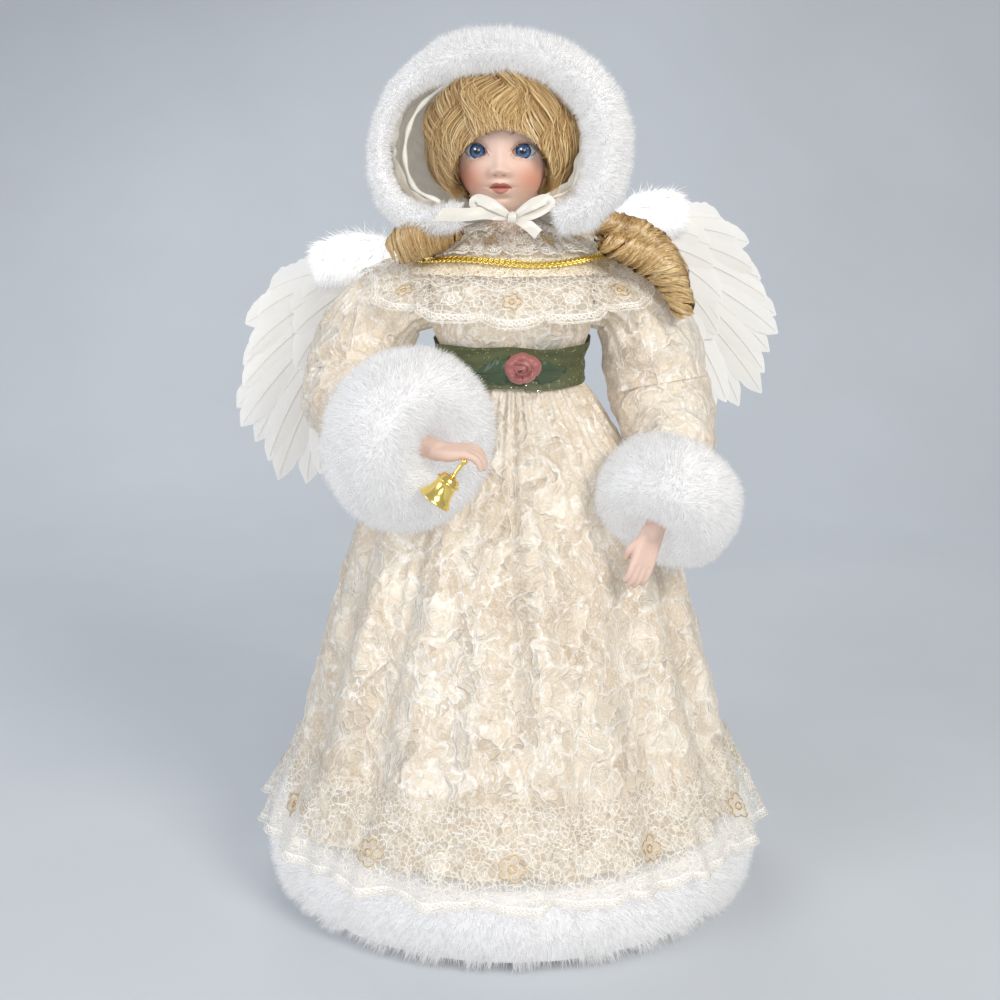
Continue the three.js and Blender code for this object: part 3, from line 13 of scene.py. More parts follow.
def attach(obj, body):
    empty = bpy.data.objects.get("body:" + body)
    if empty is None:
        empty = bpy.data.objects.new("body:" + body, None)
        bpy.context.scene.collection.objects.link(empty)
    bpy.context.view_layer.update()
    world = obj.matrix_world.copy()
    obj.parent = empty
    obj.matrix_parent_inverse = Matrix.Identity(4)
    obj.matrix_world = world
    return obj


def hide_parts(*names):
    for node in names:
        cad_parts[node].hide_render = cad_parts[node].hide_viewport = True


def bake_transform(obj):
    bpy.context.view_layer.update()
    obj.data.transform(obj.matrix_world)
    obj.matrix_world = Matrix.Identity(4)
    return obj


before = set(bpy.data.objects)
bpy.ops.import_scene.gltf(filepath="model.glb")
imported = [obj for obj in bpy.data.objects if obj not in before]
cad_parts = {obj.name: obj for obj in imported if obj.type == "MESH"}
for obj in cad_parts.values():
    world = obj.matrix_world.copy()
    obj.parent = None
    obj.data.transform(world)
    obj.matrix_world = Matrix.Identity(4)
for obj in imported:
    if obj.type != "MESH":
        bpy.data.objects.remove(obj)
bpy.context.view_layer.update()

MM = 0.001
TAU = 2 * math.pi

# Levels and sizes shared with the part
WAIST_Z = 287
SHOULDER_Z = 322
NECK_Z = 353
CHIN_Z = 364
SKIRT_FOOT_Z = 45.3
GOWN_WAIST = 35.5
GOWN_WAIST_DEPTH = 31.5
HEM_RADIUS = 124
HEM_FUR_HEIGHT = 45
HEM_FUR_HALF_DEPTH = 10
LACE_TOP_Z = 84
LACE_FOOT_Z = 36
LACE_RADIUS = 140
CAPE_HALF = (57, 43)
BERTHA_HALF = (79, 54)
BERTHA_DROP = 32
BERTHA_BACK_SHARE = 0.27
BERTHA_PLEATS = 12
ARMHOLE_REACH = 43
SLEEVE_RADII = (17, 22, 27, 28, 26, 21, 14, 13)
CUFF_LENGTH = 42
HEAD_HALF = np.array((28.5, 31.0, 36.0))
HEAD_CENTRE = np.array((-4.0, -9.0, 400.0))
HEAD_TURN = -4
HOOD_CENTRE = np.array((-9.0, 0.0, 398.0))
HOOD_HALF = np.array((59.0, 50.0, 52.0))
WING_PIN_REACH = 12
WING_PLANE = 61
WING_Z = 316.7
BELL_CROWN = np.array((-28.0, -113.0, 248.0))
BELL_TILT = 38


# Numbers and paths
def lerp(a, b, t):
    return a + (b - a) * t


def smooth(t):
    t = np.clip(t, 0, 1)
    return t * t * (3 - 2 * t)


def table(places, values, at):
    return np.interp(at, places, values)


def unit(v):
    v = np.asarray(v, float)
    return v / np.maximum(np.linalg.norm(v, axis=-1, keepdims=True), 1e-9)


def curve(points, count):
    """Evenly spaced points on a smooth path through the given ones."""
    p = np.asarray(points, float)
    ends = np.vstack([2 * p[0] - p[1], p, 2 * p[-1] - p[-2]])
    fine = []
    for i in range(len(p) - 1):
        a, b, c, d = ends[i : i + 4]
        square, cube = 2 * a - 5 * b + 4 * c - d, 3 * b - a - 3 * c + d
        for t in np.linspace(0, 1, 24, endpoint=False):
            fine.append(0.5 * (2 * b + (c - a) * t + square * t**2 + cube * t**3))
    fine.append(p[-1])
    fine = np.array(fine)
    far = np.concatenate([[0], np.cumsum(np.linalg.norm(np.diff(fine, axis=0), axis=1))])
    at = np.linspace(0, far[-1], count)
    return np.stack([np.interp(at, far, fine[:, k]) for k in range(3)], axis=1)


def frames(path, up=(0, 0, 1), closed=False):
    """Tangent, side and top directions along a path."""
    ahead = np.roll(path, -1, 0) - np.roll(path, 1, 0) if closed else np.gradient(path, axis=0)
    tangent = unit(ahead)
    side = unit(np.cross(tangent, np.asarray(up, float)))
    return tangent, side, np.cross(side, tangent)


def around_z(points, degrees):
    a = math.radians(degrees)
    x, y, z = np.moveaxis(points, -1, 0)
    return np.stack([x * math.cos(a) - y * math.sin(a), x * math.sin(a) + y * math.cos(a), z], -1)


def around_y(points, degrees):
    a = math.radians(degrees)
    x, y, z = np.moveaxis(points, -1, 0)
    return np.stack([x * math.cos(a) + z * math.sin(a), y, z * math.cos(a) - x * math.sin(a)], -1)


def rumple(points, scale, seed=0.0):
    """Creases as of crushed cloth: 1 on a crease, 0 away from it."""
    sharpness = 7
    made = np.empty(len(points))
    for i, p in enumerate(points * scale + seed):
        near = noise.voronoi(p)[0]
        made[i] = math.exp(-(near[1] - near[0]) * sharpness)
    return made


def waves(points, scale, seed=0.0):
    """Soft swells, from -1 to 1."""
    return np.array([noise.noise(p) for p in points * scale + seed])


# Meshes
def make_mesh(name, points, faces, material, body=None, flow=None, colour=None):
    """A smooth mesh that rides on a body; flow and colour are values for its material, one for each point."""
    mesh = bpy.data.meshes.new(name)
    points = np.asarray(points, float).reshape(-1, 3) * MM
    faces = np.asarray(faces, np.int32)
    mesh.vertices.add(len(points))
    mesh.vertices.foreach_set("co", points.astype(np.float32).ravel())
    mesh.loops.add(faces.size)
    mesh.loops.foreach_set("vertex_index", faces.ravel())
    mesh.polygons.add(len(faces))
    mesh.polygons.foreach_set("loop_start", np.arange(0, faces.size, faces.shape[1], dtype=np.int32))
    mesh.polygons.foreach_set("use_smooth", np.ones(len(faces), bool))
    if flow is not None:
        made = mesh.attributes.new("flow", "FLOAT_VECTOR", "POINT")
        made.data.foreach_set("vector", np.asarray(flow, np.float32).ravel())
    if colour is not None:
        made = mesh.attributes.new("paint", "FLOAT_COLOR", "POINT")
        opaque = np.concatenate([colour, np.ones((*colour.shape[:-1], 1))], -1)
        made.data.foreach_set("color", opaque.astype(np.float32).ravel())
    mesh.update(calc_edges=True)
    mesh.materials.append(material)
    made = bpy.data.objects.new(name, mesh)
    bpy.context.scene.collection.objects.link(made)
    if body:
        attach(made, body)
    return made


def stand_in(made, node):
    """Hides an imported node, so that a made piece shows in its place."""
    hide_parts(node)


def ring_grid(rows, columns):
    """For a ring of cloth: how far round (0 to 1) and how far down (0 to 1) each of its points is."""
    return np.meshgrid(np.arange(columns) / columns, np.linspace(0, 1, rows))


def patch_grid(rows, columns):
    """For an open patch: how far along (0 to 1) and how far across (-1 to 1) each of its points is."""
    return np.meshgrid(np.linspace(0, 1, rows), np.linspace(-1, 1, columns), indexing="ij")


def round_path(side, top, turn):
    """The ways out from each station of a path at each turn about it."""
    return np.cos(turn)[None, :, None] * side[:, None] + np.sin(turn)[None, :, None] * top[:, None]


def grid_faces(rows, columns, wrap=False, offset=0):
    i, j = np.meshgrid(np.arange(rows - 1), np.arange(columns if wrap else columns - 1), indexing="ij")
    k = (j + 1) % columns
    made = np.stack([i * columns + j, i * columns + k, (i + 1) * columns + k, (i + 1) * columns + j], -1)
    return made.reshape(-1, 4) + offset


class Bag:
    """Collects pieces of one mesh."""

    def __init__(self):
        self.points, self.faces, self.count = [], [], 0
        self.flow = []

    def put(self, points, faces, flow=0.0):
        points = np.asarray(points, float).reshape(-1, 3)
        self.points.append(points)
        self.faces.append(np.asarray(faces) + self.count)
        self.flow.append(np.broadcast_to(flow, points.shape))
        self.count += len(points)

    def tube(self, path, radius, sides=8, closed=False, up=(0, 0, 1)):
        path = np.asarray(path, float)
        _, side, top = frames(path, up, closed)
        radius = np.broadcast_to(np.asarray(radius, float).reshape(-1, 1, 1), (len(path), 1, 1))
        points = path[:, None] + radius * round_path(side, top, np.arange(sides) / sides * TAU)
        faces = grid_faces(len(path), sides, wrap=True)
        if closed:
            j = np.arange(sides)
            k = (j + 1) % sides
            last = (len(path) - 1) * sides
            faces = np.vstack([faces, np.stack([last + j, last + k, k, j], -1)])
        self.put(points, faces)

    def object(self, name, material, body=None):
        points, faces = np.vstack(self.points), np.vstack(self.faces)
        return make_mesh(name, points, faces, material, body, np.vstack(self.flow))


def strands(name, roots, middles, tips, width, material, body, outward):
    """Thin tapered ribbons of three triangles each.
    flow holds (0 root to 1 tip, a random share, 0). They are lit by the way that the whole coat faces."""
    count = len(roots)
    rng = np.random.default_rng(7)
    side = unit(np.cross(tips - roots, outward + rng.normal(size=(count, 3)) * 0.5))
    half = side * width / 2
    points = np.stack([roots - half, roots + half, middles + half * 0.8, middles - half * 0.8, tips], 1)
    base = np.arange(count)[:, None] * 5
    faces = np.concatenate([base + [0, 1, 2], base + [0, 2, 3], base + [3, 2, 4]])
    flow = np.zeros((count, 5, 3))
    flow[:, :, 0] = [0, 0, 0.55, 0.55, 1]
    flow[:, :, 1] = rng.random(count)[:, None]
    made = make_mesh(name, points, faces, material, body, flow)
    made.data.normals_split_custom_set_from_vertices(np.repeat(outward, 5, axis=0).tolist())
    return made


def node_surface(node):
    """Welded points, triangles, smooth normals and triangle areas of a CAD node, in millimetres."""
    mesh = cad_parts[node].data
    mesh.calc_loop_triangles()
    points = np.array([v.co for v in mesh.vertices]) / MM
    triangles = np.array([t.vertices[:] for t in mesh.loop_triangles])
    _, kept, place = np.unique(np.round(points, 2), axis=0, return_index=True, return_inverse=True)
    points, triangles = points[kept], place.ravel()[triangles]
    a, b, c = (points[triangles[:, k]] for k in range(3))
    across = np.cross(b - a, c - a)
    normals = np.zeros_like(points)
    for k in range(3):
        np.add.at(normals, triangles[:, k], across)
    return points, triangles, unit(normals), np.linalg.norm(across, axis=1) / 2


def scatter(surface, count, seed, keep=None):
    """Random places on a surface with their normals."""
    points, triangles, normals, areas = surface
    rng = np.random.default_rng(seed)
    if keep is not None:
        areas = areas * keep(points[triangles].mean(1))
    pick = rng.choice(len(triangles), count, p=areas / areas.sum())
    a, b = rng.random(count), rng.random(count)
    flip = a + b > 1
    a, b = np.where(flip, 1 - a, a), np.where(flip, 1 - b, b)
    weights = np.stack([1 - a - b, a, b], 1)[:, :, None]
    places = (points[triangles[pick]] * weights).sum(1)
    return places, unit((normals[triangles[pick]] * weights).sum(1)), rng


def carry_over(material, *nodes):
    """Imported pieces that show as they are."""
    for node in nodes:
        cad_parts[node].data.materials.clear()
        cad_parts[node].data.materials.append(material)


# Materials
class Finish:
    """A material made of procedural nodes round one Principled shader."""

    def __init__(self, name, colour, roughness, **sockets):
        self.material = bpy.data.materials.new(name)
        self.material.use_nodes = True
        self.nodes = self.material.node_tree.nodes
        self.links = self.material.node_tree.links
        self.shader = self.nodes["Principled BSDF"]
        self.set("Base Color", (*colour, 1))
        self.set("Roughness", roughness)
        for key, value in sockets.items():
            self.set(key.replace("_", " ").title().replace("Ior", "IOR"), value)

    def set(self, socket, value):
        self.shader.inputs[socket].default_value = value

    def new(self, kind, **values):
        made = self.nodes.new(kind)
        for key, value in values.items():
            if key in made.inputs:
                made.inputs[key].default_value = value
            else:
                setattr(made, key, value)
        return made

    def feed(self, socket, value):
        """Gives a socket a number, a vector or another node's output."""
        if isinstance(value, (int, float)):
            socket.default_value = value
        elif isinstance(value, tuple):
            socket.default_value = (*value, 1) if socket.type == "RGBA" else value
        elif value is not None:
            self.links.new(value, socket)

    def place(self):
        return self.new("ShaderNodeTexCoord").outputs["Object"]

    def flow(self):
        return self.new("ShaderNodeAttribute", attribute_name="flow").outputs["Vector"]

    def flow_parts(self):
        split = self.new("ShaderNodeSeparateXYZ")
        self.links.new(self.flow(), split.inputs[0])
        return split.outputs

    def painted(self):
        """Takes the colour that was worked out for each point."""
        paint = self.new("ShaderNodeAttribute", attribute_name="paint")
        self.link(paint.outputs["Color"], "Base Color")

    def noise(self, scale, detail=3.0, at=None, roughness=0.55, output="Fac"):
        made = self.new("ShaderNodeTexNoise", Scale=scale, Detail=detail, Roughness=roughness)
        self.links.new(at or self.place(), made.inputs["Vector"])
        return made.outputs[output]

    def cells(self, scale, feature="F1", at=None, output="Distance"):
        made = self.new("ShaderNodeTexVoronoi", feature=feature, Scale=scale)
        self.links.new(at or self.place(), made.inputs["Vector"])
        return made.outputs[output]

    def sum(self, operation, *values):
        made = self.new("ShaderNodeMath", operation=operation)
        for socket, value in zip(made.inputs, values):
            self.feed(socket, value)
        return made.outputs[0]

    def vector(self, operation, *values, scale=None):
        made = self.new("ShaderNodeVectorMath", operation=operation)
        for socket, value in zip(made.inputs, values):
            self.feed(socket, value)
        if scale is not None:
            made.inputs["Scale"].default_value = scale
        return made.outputs[0]

    def about_zero(self, colour, scale):
        """A colour as a vector that points any way, as long as scale."""
        half = (0.5, 0.5, 0.5)
        return self.vector("SCALE", self.vector("SUBTRACT", colour, half), scale=scale)

    def faced(self, vector):
        """A way in the piece's own frame, turned to where the piece is."""
        ways = {"vector_type": "VECTOR", "convert_from": "OBJECT", "convert_to": "WORLD"}
        made = self.new("ShaderNodeVectorTransform", **ways)
        self.links.new(vector, made.inputs[0])
        return made.outputs[0]

    def ramp(self, fac, stops):
        made = self.new("ShaderNodeValToRGB")
        self.links.new(fac, made.inputs[0])
        elements = made.color_ramp.elements
        while len(elements) < len(stops):
            elements.new(0.5)
        for element, (place, colour) in zip(elements, stops):
            element.position = place
            element.color = (*colour, 1)
        return made.outputs[0]

    def grey(self, fac, low, high, start=0.0, end=1.0):
        """low where fac is at start, high where it is at end."""
        made = self.new("ShaderNodeMapRange")
        self.links.new(fac, made.inputs["Value"])
        for key, value in zip(("From Min", "From Max", "To Min", "To Max"), (start, end, low, high)):
            made.inputs[key].default_value = value
        return made.outputs[0]

    def mix(self, fac, a, b):
        made = self.new("ShaderNodeMix", data_type="RGBA")
        for number, value in ((0, fac), (6, a), (7, b)):
            self.feed(made.inputs[number], value)
        return made.outputs[2]

    def link(self, output, socket):
        self.links.new(output, self.shader.inputs[socket])

    def bump(self, height, strength, distance):
        made = self.new("ShaderNodeBump", Strength=strength, Distance=distance)
        self.links.new(height, made.inputs["Height"])
        before = self.shader.inputs["Normal"].links
        if before:
            self.links.new(before[0].from_socket, made.inputs["Normal"])
        self.link(made.outputs[0], "Normal")

    def let_through(self, share, colour):
        """Some of the light that falls on the back comes out of the front."""
        glow = self.new("ShaderNodeBsdfTranslucent", Color=(*colour, 1))
        both = self.new("ShaderNodeMixShader", Fac=share)
        self.links.new(self.shader.outputs[0], both.inputs[1])
        self.links.new(glow.outputs[0], both.inputs[2])
        out = self.nodes["Material Output"]
        self.links.new(both.outputs[0], out.inputs["Surface"])

    def glow(self, strength, colour=(1, 1, 1)):
        """Painted light: a glow of its own, for the light that soft white strands and cloth pass on to each
        other.
        """
        self.set("Emission Color", (*colour, 1))
        self.set("Emission Strength", strength)


def velvet_material():
    """Crushed velvet: the pile of each creased patch lies its own way, so it shines or goes dull. Its patch
    tones are partly painted shine and dullness, its crease glints, streaks and fine sparkle are painted
    highlights, and it has a little painted glow.
    """
    patches, flakes = 95, 230
    made = Finish("crushed velvet", (0.8, 0.7, 0.55), 0.42, Sheen_Weight=0.3, Sheen_Roughness=0.35)
    made.set("Sheen Tint", (1, 0.96, 0.9, 1))
    wander = made.about_zero(made.noise(45, roughness=0.5, output="Color"), 0.03)
    at = made.vector("MULTIPLY", made.vector("ADD", made.place(), wander), (1, 1, 0.6))
    patch, flake = (made.cells(scale, at=at, output="Color") for scale in (patches, flakes))
    tilt = made.vector("ADD", made.about_zero(patch, 0.55), made.about_zero(flake, 0.5))
    facing = made.new("ShaderNodeNewGeometry").outputs["Normal"]
    made.link(made.vector("NORMALIZE", made.vector("ADD", facing, made.faced(tilt))), "Normal")
    # Tones that vary at random from patch to patch, which also paint the shine and dullness of pile lying
    # different ways
    tone = made.sum("ADD", made.sum("MULTIPLY", patch, 0.3), made.sum("MULTIPLY", made.noise(30, 4), 0.6))
    tone = made.sum("ADD", tone, made.sum("MULTIPLY", flake, 0.2))
    colour = made.ramp(tone, (
        (0.32, (0.5, 0.39, 0.27)), (0.48, (0.62, 0.51, 0.38)),
        (0.6, (0.71, 0.61, 0.48)), (0.76, (0.84, 0.77, 0.66)),
    ))
    # Painted highlights: silvery glints where the creases catch the light; the same ridges are bumped below
    ridge = made.grey(made.cells(patches, "DISTANCE_TO_EDGE", at=at), 0.8, 0, 0, 0.1)
    small_ridge = made.grey(made.cells(flakes, "DISTANCE_TO_EDGE", at=at), 0.5, 0, 0, 0.1)
    crease_ridge_highlight = made.sum("MAXIMUM", ridge, small_ridge)
    glint = made.sum("MULTIPLY", crease_ridge_highlight, made.grey(made.noise(260, 5, roughness=0.75), 0, 1, 0.4, 0.6))
    # Painted highlights: drawn-out streaks of sparkle, in patches
    drawn = made.vector("MULTIPLY", at, (1, 1, 0.45))
    streak = made.grey(made.noise(340, 4, at=drawn, roughness=0.7), 0, 0.9, 0.54, 0.64)
    streak = made.sum("MULTIPLY", streak, made.grey(made.noise(38, 3), 0, 1, 0.44, 0.6))
    glint = made.sum("MAXIMUM", glint, streak)
    # Painted highlights: fine sparkle of the pile, mixed towards white with the glints
    grain = made.grey(made.noise(820, 3, roughness=0.8), 0, 0.5, 0.52, 0.66)
    made.link(made.mix(made.sum("MAXIMUM", glint, grain), colour, (0.97, 0.95, 0.92)), "Base Color")
    made.link(made.grey(glint, 0.5, 0.24), "Roughness")
    made.bump(crease_ridge_highlight, strength=0.55, distance=0.0008)
    made.bump(made.noise(620, 4, roughness=0.8), strength=0.5, distance=0.0005)
    # Painted light: a little warm glow of its own
    made.glow(0.07, (1, 0.9, 0.76))
    return made.material


def fur_material():
    """White pile that lets some light through, with painted shade that makes it greyer at its roots and a
    painted glow.
    """
    made = Finish("white fur", (0.93, 0.93, 0.93), 0.85)
    made.set("Specular IOR Level", 0.15)
    from_root = made.flow_parts()[0]
    # Painted shade: the strands grow greyer towards their roots, where they shade each other
    root_shade_tones = ((0, (0.84, 0.83, 0.85)), (0.5, (0.95, 0.95, 0.955)), (1, (0.99, 0.99, 0.99)))
    made.link(made.ramp(from_root, root_shade_tones), "Base Color")
    made.let_through(0.25, (0.97, 0.97, 0.98))
    # Painted light: a glow for the light that the white strands pass on to each other
    made.glow(0.36, (1, 0.99, 0.98))
    return made.material


def plain(name, colour, roughness, grain=300, lumps=0.15, **sockets):
    """One mottled colour; grain is the scale of its lumps."""
    made = Finish(name, colour, roughness, **sockets)
    dark = tuple(c * 0.86 for c in colour)
    made.link(made.mix(made.noise(grain / 5), dark, colour), "Base Color")
    made.bump(made.noise(grain, 3), strength=lumps, distance=0.0004)
    return made.material


def glitter_material(name, dark, light, spark, cells=900, share=0.1, web=None):
    """Cloth with metal flecks, and with white threads where web gives their cells' scale."""
    made = Finish(name, light, 0.5)
    cloth = made.mix(made.noise(60, 4), dark, light)
    if web:
        threads = made.grey(made.cells(web, "DISTANCE_TO_EDGE"), 0.85, 0, 0.04, 0.1)
        cloth = made.mix(threads, cloth, (0.95, 0.92, 0.86))
    fleck = made.cells(cells, output="Color")
    lit = made.grey(fleck, 0, 1, 1 - share - 0.02, 1 - share + 0.02)
    made.link(made.mix(lit, cloth, spark), "Base Color")
    made.link(lit, "Metallic")
    made.link(made.grey(lit, 0.55, 0.2), "Roughness")
    made.bump(fleck, strength=0.4, distance=0.0004)
    return made.material


def lace_material(name, thinnest):
    """Net of fine threads; flow holds (along, down) in millimetres and how solid the lace is."""
    net_step = 1.1
    made = Finish(name, (0.93, 0.9, 0.84), 0.65)
    along, down, solid = made.flow_parts()
    sloped = [made.sum("ADD", along, down), made.sum("SUBTRACT", along, down)]
    waved = [made.sum("SINE", made.sum("MULTIPLY", s, math.pi / net_step)) for s in sloped]
    threads = [made.sum("ABSOLUTE", w) for w in waved]
    net = made.grey(made.sum("MINIMUM", *threads), 0.3, thinnest, 0.1, 0.4)
    flat = made.vector("MULTIPLY", made.flow(), (1, 1, 0))
    web = made.grey(made.cells(0.3, "DISTANCE_TO_EDGE", at=flat), 0.8, 0, 0.035, 0.09)
    made.link(made.sum("MAXIMUM", made.sum("MAXIMUM", net, web), solid), "Alpha")
    made.painted()
    made.bump(solid, strength=0.6, distance=0.0004)
    return made.material


def metal(name, colour, roughness, grain=200):
    made = Finish(name, colour, roughness, Metallic=1.0)
    made.link(made.grey(made.noise(grain, 3), roughness * 0.7, roughness * 1.5), "Roughness")
    made.bump(made.noise(grain * 2, 3), strength=0.08, distance=0.0003)
    return made.material


def hair_material():
    """Golden hair; each strand has its own shade at random, and grows lighter to its tip, which is painted
    shade at the roots.
    """
    made = Finish("doll's hair", (0.55, 0.36, 0.16), 0.36, Specular_Ior_Level=0.6, Anisotropic=0.5)
    from_root, chance, _ = made.flow_parts()
    # Random tone for each strand, and painted shade that darkens it towards its root
    tone = made.sum("ADD", made.sum("MULTIPLY", chance, 0.7), made.sum("MULTIPLY", from_root, 0.3))
    colour = made.ramp(tone, (
        (0, (0.2, 0.1, 0.03)), (0.35, (0.48, 0.28, 0.1)), (0.7, (0.7, 0.48, 0.21)), (1, (0.9, 0.74, 0.45))
    ))
    made.link(colour, "Base Color")
    return made.material


def eye_material():
    made = Finish("glass eye", (0.8, 0.8, 0.8), 0.12, Coat_Weight=1.0, Coat_Roughness=0.02)
    made.painted()
    return made.material


def feather_material():
    """Barbs run out from the shaft; flow holds (along, across, a shade) in millimetres."""
    barb_step, barb_slope = 0.9, 1.4
    made = Finish("white feather", (0.93, 0.91, 0.88), 0.55)
    along, across, shade = made.flow_parts()
    slant = made.sum("SUBTRACT", along, made.sum("MULTIPLY", made.sum("ABSOLUTE", across), barb_slope))
    barb = made.sum("SINE", made.sum("MULTIPLY", slant, TAU / barb_step))
    tone = made.sum("ADD", shade, made.sum("MULTIPLY", barb, 0.08))
    made.link(made.ramp(tone, ((0, (0.97, 0.96, 0.94)), (0.45, (0.86, 0.84, 0.8)))), "Base Color")
    made.bump(barb, strength=0.35, distance=0.0003)
    made.let_through(0.3, (0.95, 0.93, 0.9))
    # Painted light: a little glow of the feathers' own
    made.glow(0.1)
    return made.material


def porcelain_material():
    """Matte bisque, painted point by point."""
    made = Finish("painted bisque", (0.86, 0.62, 0.5), 0.55, Subsurface_Weight=0.08)
    made.set("Subsurface Radius", (0.004, 0.0015, 0.0008))
    made.painted()
    made.bump(made.noise(900, 2), strength=0.05, distance=0.0002)
    return made.material


velvet = velvet_material()
fur = fur_material()
# Painted light: the fur's backing has a glow of its own
fur_skin = plain("fur backing", (0.9, 0.9, 0.92), 0.9, Emission_Strength=0.2)
lace = lace_material("gown lace", 0.1)
thread = plain("lace thread", (0.93, 0.89, 0.82), 0.6)
gold_thread = metal("gold thread", (0.78, 0.55, 0.25), 0.35)
tulle = glitter_material(
    "gold glitter tulle", (0.7, 0.58, 0.4), (0.83, 0.74, 0.58), (0.98, 0.88, 0.6),
    cells=1700, share=0.2, web=330,
)
sash_cloth = glitter_material(
    "olive glitter ribbon", (0.04, 0.05, 0.02), (0.15, 0.17, 0.075), (0.62, 0.6, 0.34), cells=1500, share=0.14
)
rose_cloth = plain("dusty rose ribbon", (0.4, 0.13, 0.12), 0.38, Sheen_Weight=0.4)
leaf_cloth = plain("dark green ribbon", (0.045, 0.08, 0.035), 0.25, Sheen_Weight=0.3)
satin_ribbon = plain("ivory satin ribbon", (0.8, 0.76, 0.68), 0.26, 500, 0.05, Anisotropic=0.5)
# Painted light: the satin has a glow of its own, which lightens the hood's lining in shade
satin = plain("cream satin", (0.9, 0.88, 0.8), 0.35, 120, 0.2, Emission_Strength=0.1)
porcelain = porcelain_material()
hair = hair_material()
gold = metal("polished gold plate", (0.95, 0.72, 0.22), 0.16)
braid_gold = metal("gold cord", (0.98, 0.76, 0.2), 0.28)
steel = metal("steel wire", (0.6, 0.6, 0.6), 0.35)
card = plain("card", (0.55, 0.43, 0.28), 0.9)
stuffing = plain("cotton cover", (0.8, 0.74, 0.63), 0.95)
netting = plain("stiff net", (0.85, 0.8, 0.7), 0.9)
feather_white = feather_material()
# Painted light: the down has a glow of its own
feather_fluff = plain("white down", (0.93, 0.92, 0.9), 0.9, Emission_Strength=0.1)
quill = plain("quill", (0.9, 0.87, 0.8), 0.4)
eye_glass = eye_material()
lash_paint = plain("lash", (0.05, 0.025, 0.015), 0.7)
# Painted shade: a dark hair-coloured underlayer for the wig's cap and the curls' cores, which stands for the
# shade deep in the hair
shaded_hair_underlayer = plain("shaded hair underlayer", (0.3, 0.17, 0.07), 0.6)


# Gown
SWELL_DOWN_SHARES = (0, 0.045, 0.16, 0.36, 0.55, 0.78, 1)
SWELL_OUT_SHARES = (0, 0.01, 0.22, 0.52, 0.675, 0.85, 1)
WAIST_ROUNDNESS = 2.1
PLEAT_DEPTH = 2.2
FOLD_DEPTHS = (2.9, 2.0, 1.6)
RIDGE_HEIGHT, VALLEY_DEPTH, LIP_HEIGHT = 6, 4.5, 3
BODY_LEVELS = (287, 305, 322, 334, 345)
BODY_HALF_WIDTHS = (35.5, 41, 43.4, 41.5, 30)
BODY_HALF_DEPTHS = (31.5, 37.4, 37.4, 35.2, 26)
BODY_ROUNDNESS = (2.1, 2.6, 2.8, 2.6, 2.2)


def rounded(angle, half_width, half_depth, roundness):
    """A section between an ellipse (2) and a box (high)."""
    c, s = np.cos(angle), np.sin(angle)
    size = (np.abs(c) ** roundness + np.abs(s) ** roundness) ** (-1 / roundness)
    return half_width * c * size, half_depth * s * size


def hump(x, width):
    """1 at nought, falling away to both sides."""
    return np.exp(-((x / width) ** 2))


def down_share(z):
    """How far down the skirt a height is, from the waist to the foot."""
    return np.clip((WAIST_Z - z) / (WAIST_Z - SKIRT_FOOT_Z), 0, 1)


def waist_section(angle):
    return np.hypot(*rounded(angle, GOWN_WAIST, GOWN_WAIST_DEPTH, WAIST_ROUNDNESS))


def gown_radius(angle, z):
    """The skirt's mean surface: rounded at the waist, a circle at the hem."""
    return lerp(waist_section(angle), HEM_RADIUS, table(SWELL_DOWN_SHARES, SWELL_OUT_SHARES, down_share(z)))


def skirt_folds(angle, z):
    """Narrow pleats below the sash that run into a few deep folds, with a ridge and a valley in front."""
    down = down_share(z)
    a = angle + down * (0.05 * np.sin(3 * angle + 2.2 * down) + 0.03 * np.sin(7 * angle - 4 * down))
    pleats = PLEAT_DEPTH * (0.6 * np.cos(54 * a + 1.3 * np.sin(5 * a)) + 0.5 * np.cos(31 * a))
    waved = np.cos(18 * a + 1.2 * np.sin(4 * a)), np.cos(11 * a + 2), np.cos(5 * a + 1)
    folds = sum(depth * wave for depth, wave in zip(FOLD_DEPTHS, waved))
    from_ridge = angle + lerp(math.radians(50), math.radians(24), down)
    from_valley = angle + lerp(math.radians(92), math.radians(78), down)
    folds += LIP_HEIGHT * hump(from_valley - 0.12, 0.08) - VALLEY_DEPTH * hump(from_valley, 0.05)
    folds += RIDGE_HEIGHT * hump(from_ridge, np.where(from_ridge < 0, 0.035, 0.17))
    return pleats * np.exp(-down * 3.4) * smooth(down * 12) + folds * smooth(down * 2.2) * (0.5 + 0.5 * down)


def gown_surface(angle, z):
    return gown_radius(angle, z) + skirt_folds(angle, z)


def on_circle(angle, radius, z):
    return np.stack(np.broadcast_arrays(radius * np.cos(angle), radius * np.sin(angle), z), -1)


def outwards(points):
    """The level way out from the doll's middle."""
    return unit(points * (1, 1, 0))


def crushed(points, outward, loose=1.0):
    """The points of a cloth with the ridges, dents and facets of crushed velvet."""
    ridges = rumple(points * (1, 1, 0.62), 0.05) * 0.8 - rumple(points * (1, 1, 0.7), 0.1, 40) * 0.4
    swell = waves(points, 0.06, 11) * 1.6 + waves(points, 0.17, 5) * 0.5
    return points + outward * ((ridges + swell) * loose)[:, None]


def make_skirt():
    rows, columns = 196, 480
    under_sash, above_foot = 1, 2
    turn, share = ring_grid(rows, columns)
    z = lerp(WAIST_Z - under_sash, SKIRT_FOOT_Z + above_foot, share**1.1)
    points = on_circle(turn * TAU, gown_surface(turn * TAU, z), z).reshape(-1, 3)
    points = crushed(points, outwards(points), smooth(share.ravel() * 4))
    skirt = make_mesh("skirt_cloth", points, grid_faces(rows, columns, wrap=True), velvet, "doll")
    stand_in(skirt, "skirt")


def body_section(angle, z):
    sizes = (table(BODY_LEVELS, values, z) for values in (BODY_HALF_WIDTHS, BODY_HALF_DEPTHS, BODY_ROUNDNESS))
    return rounded(angle, *sizes)


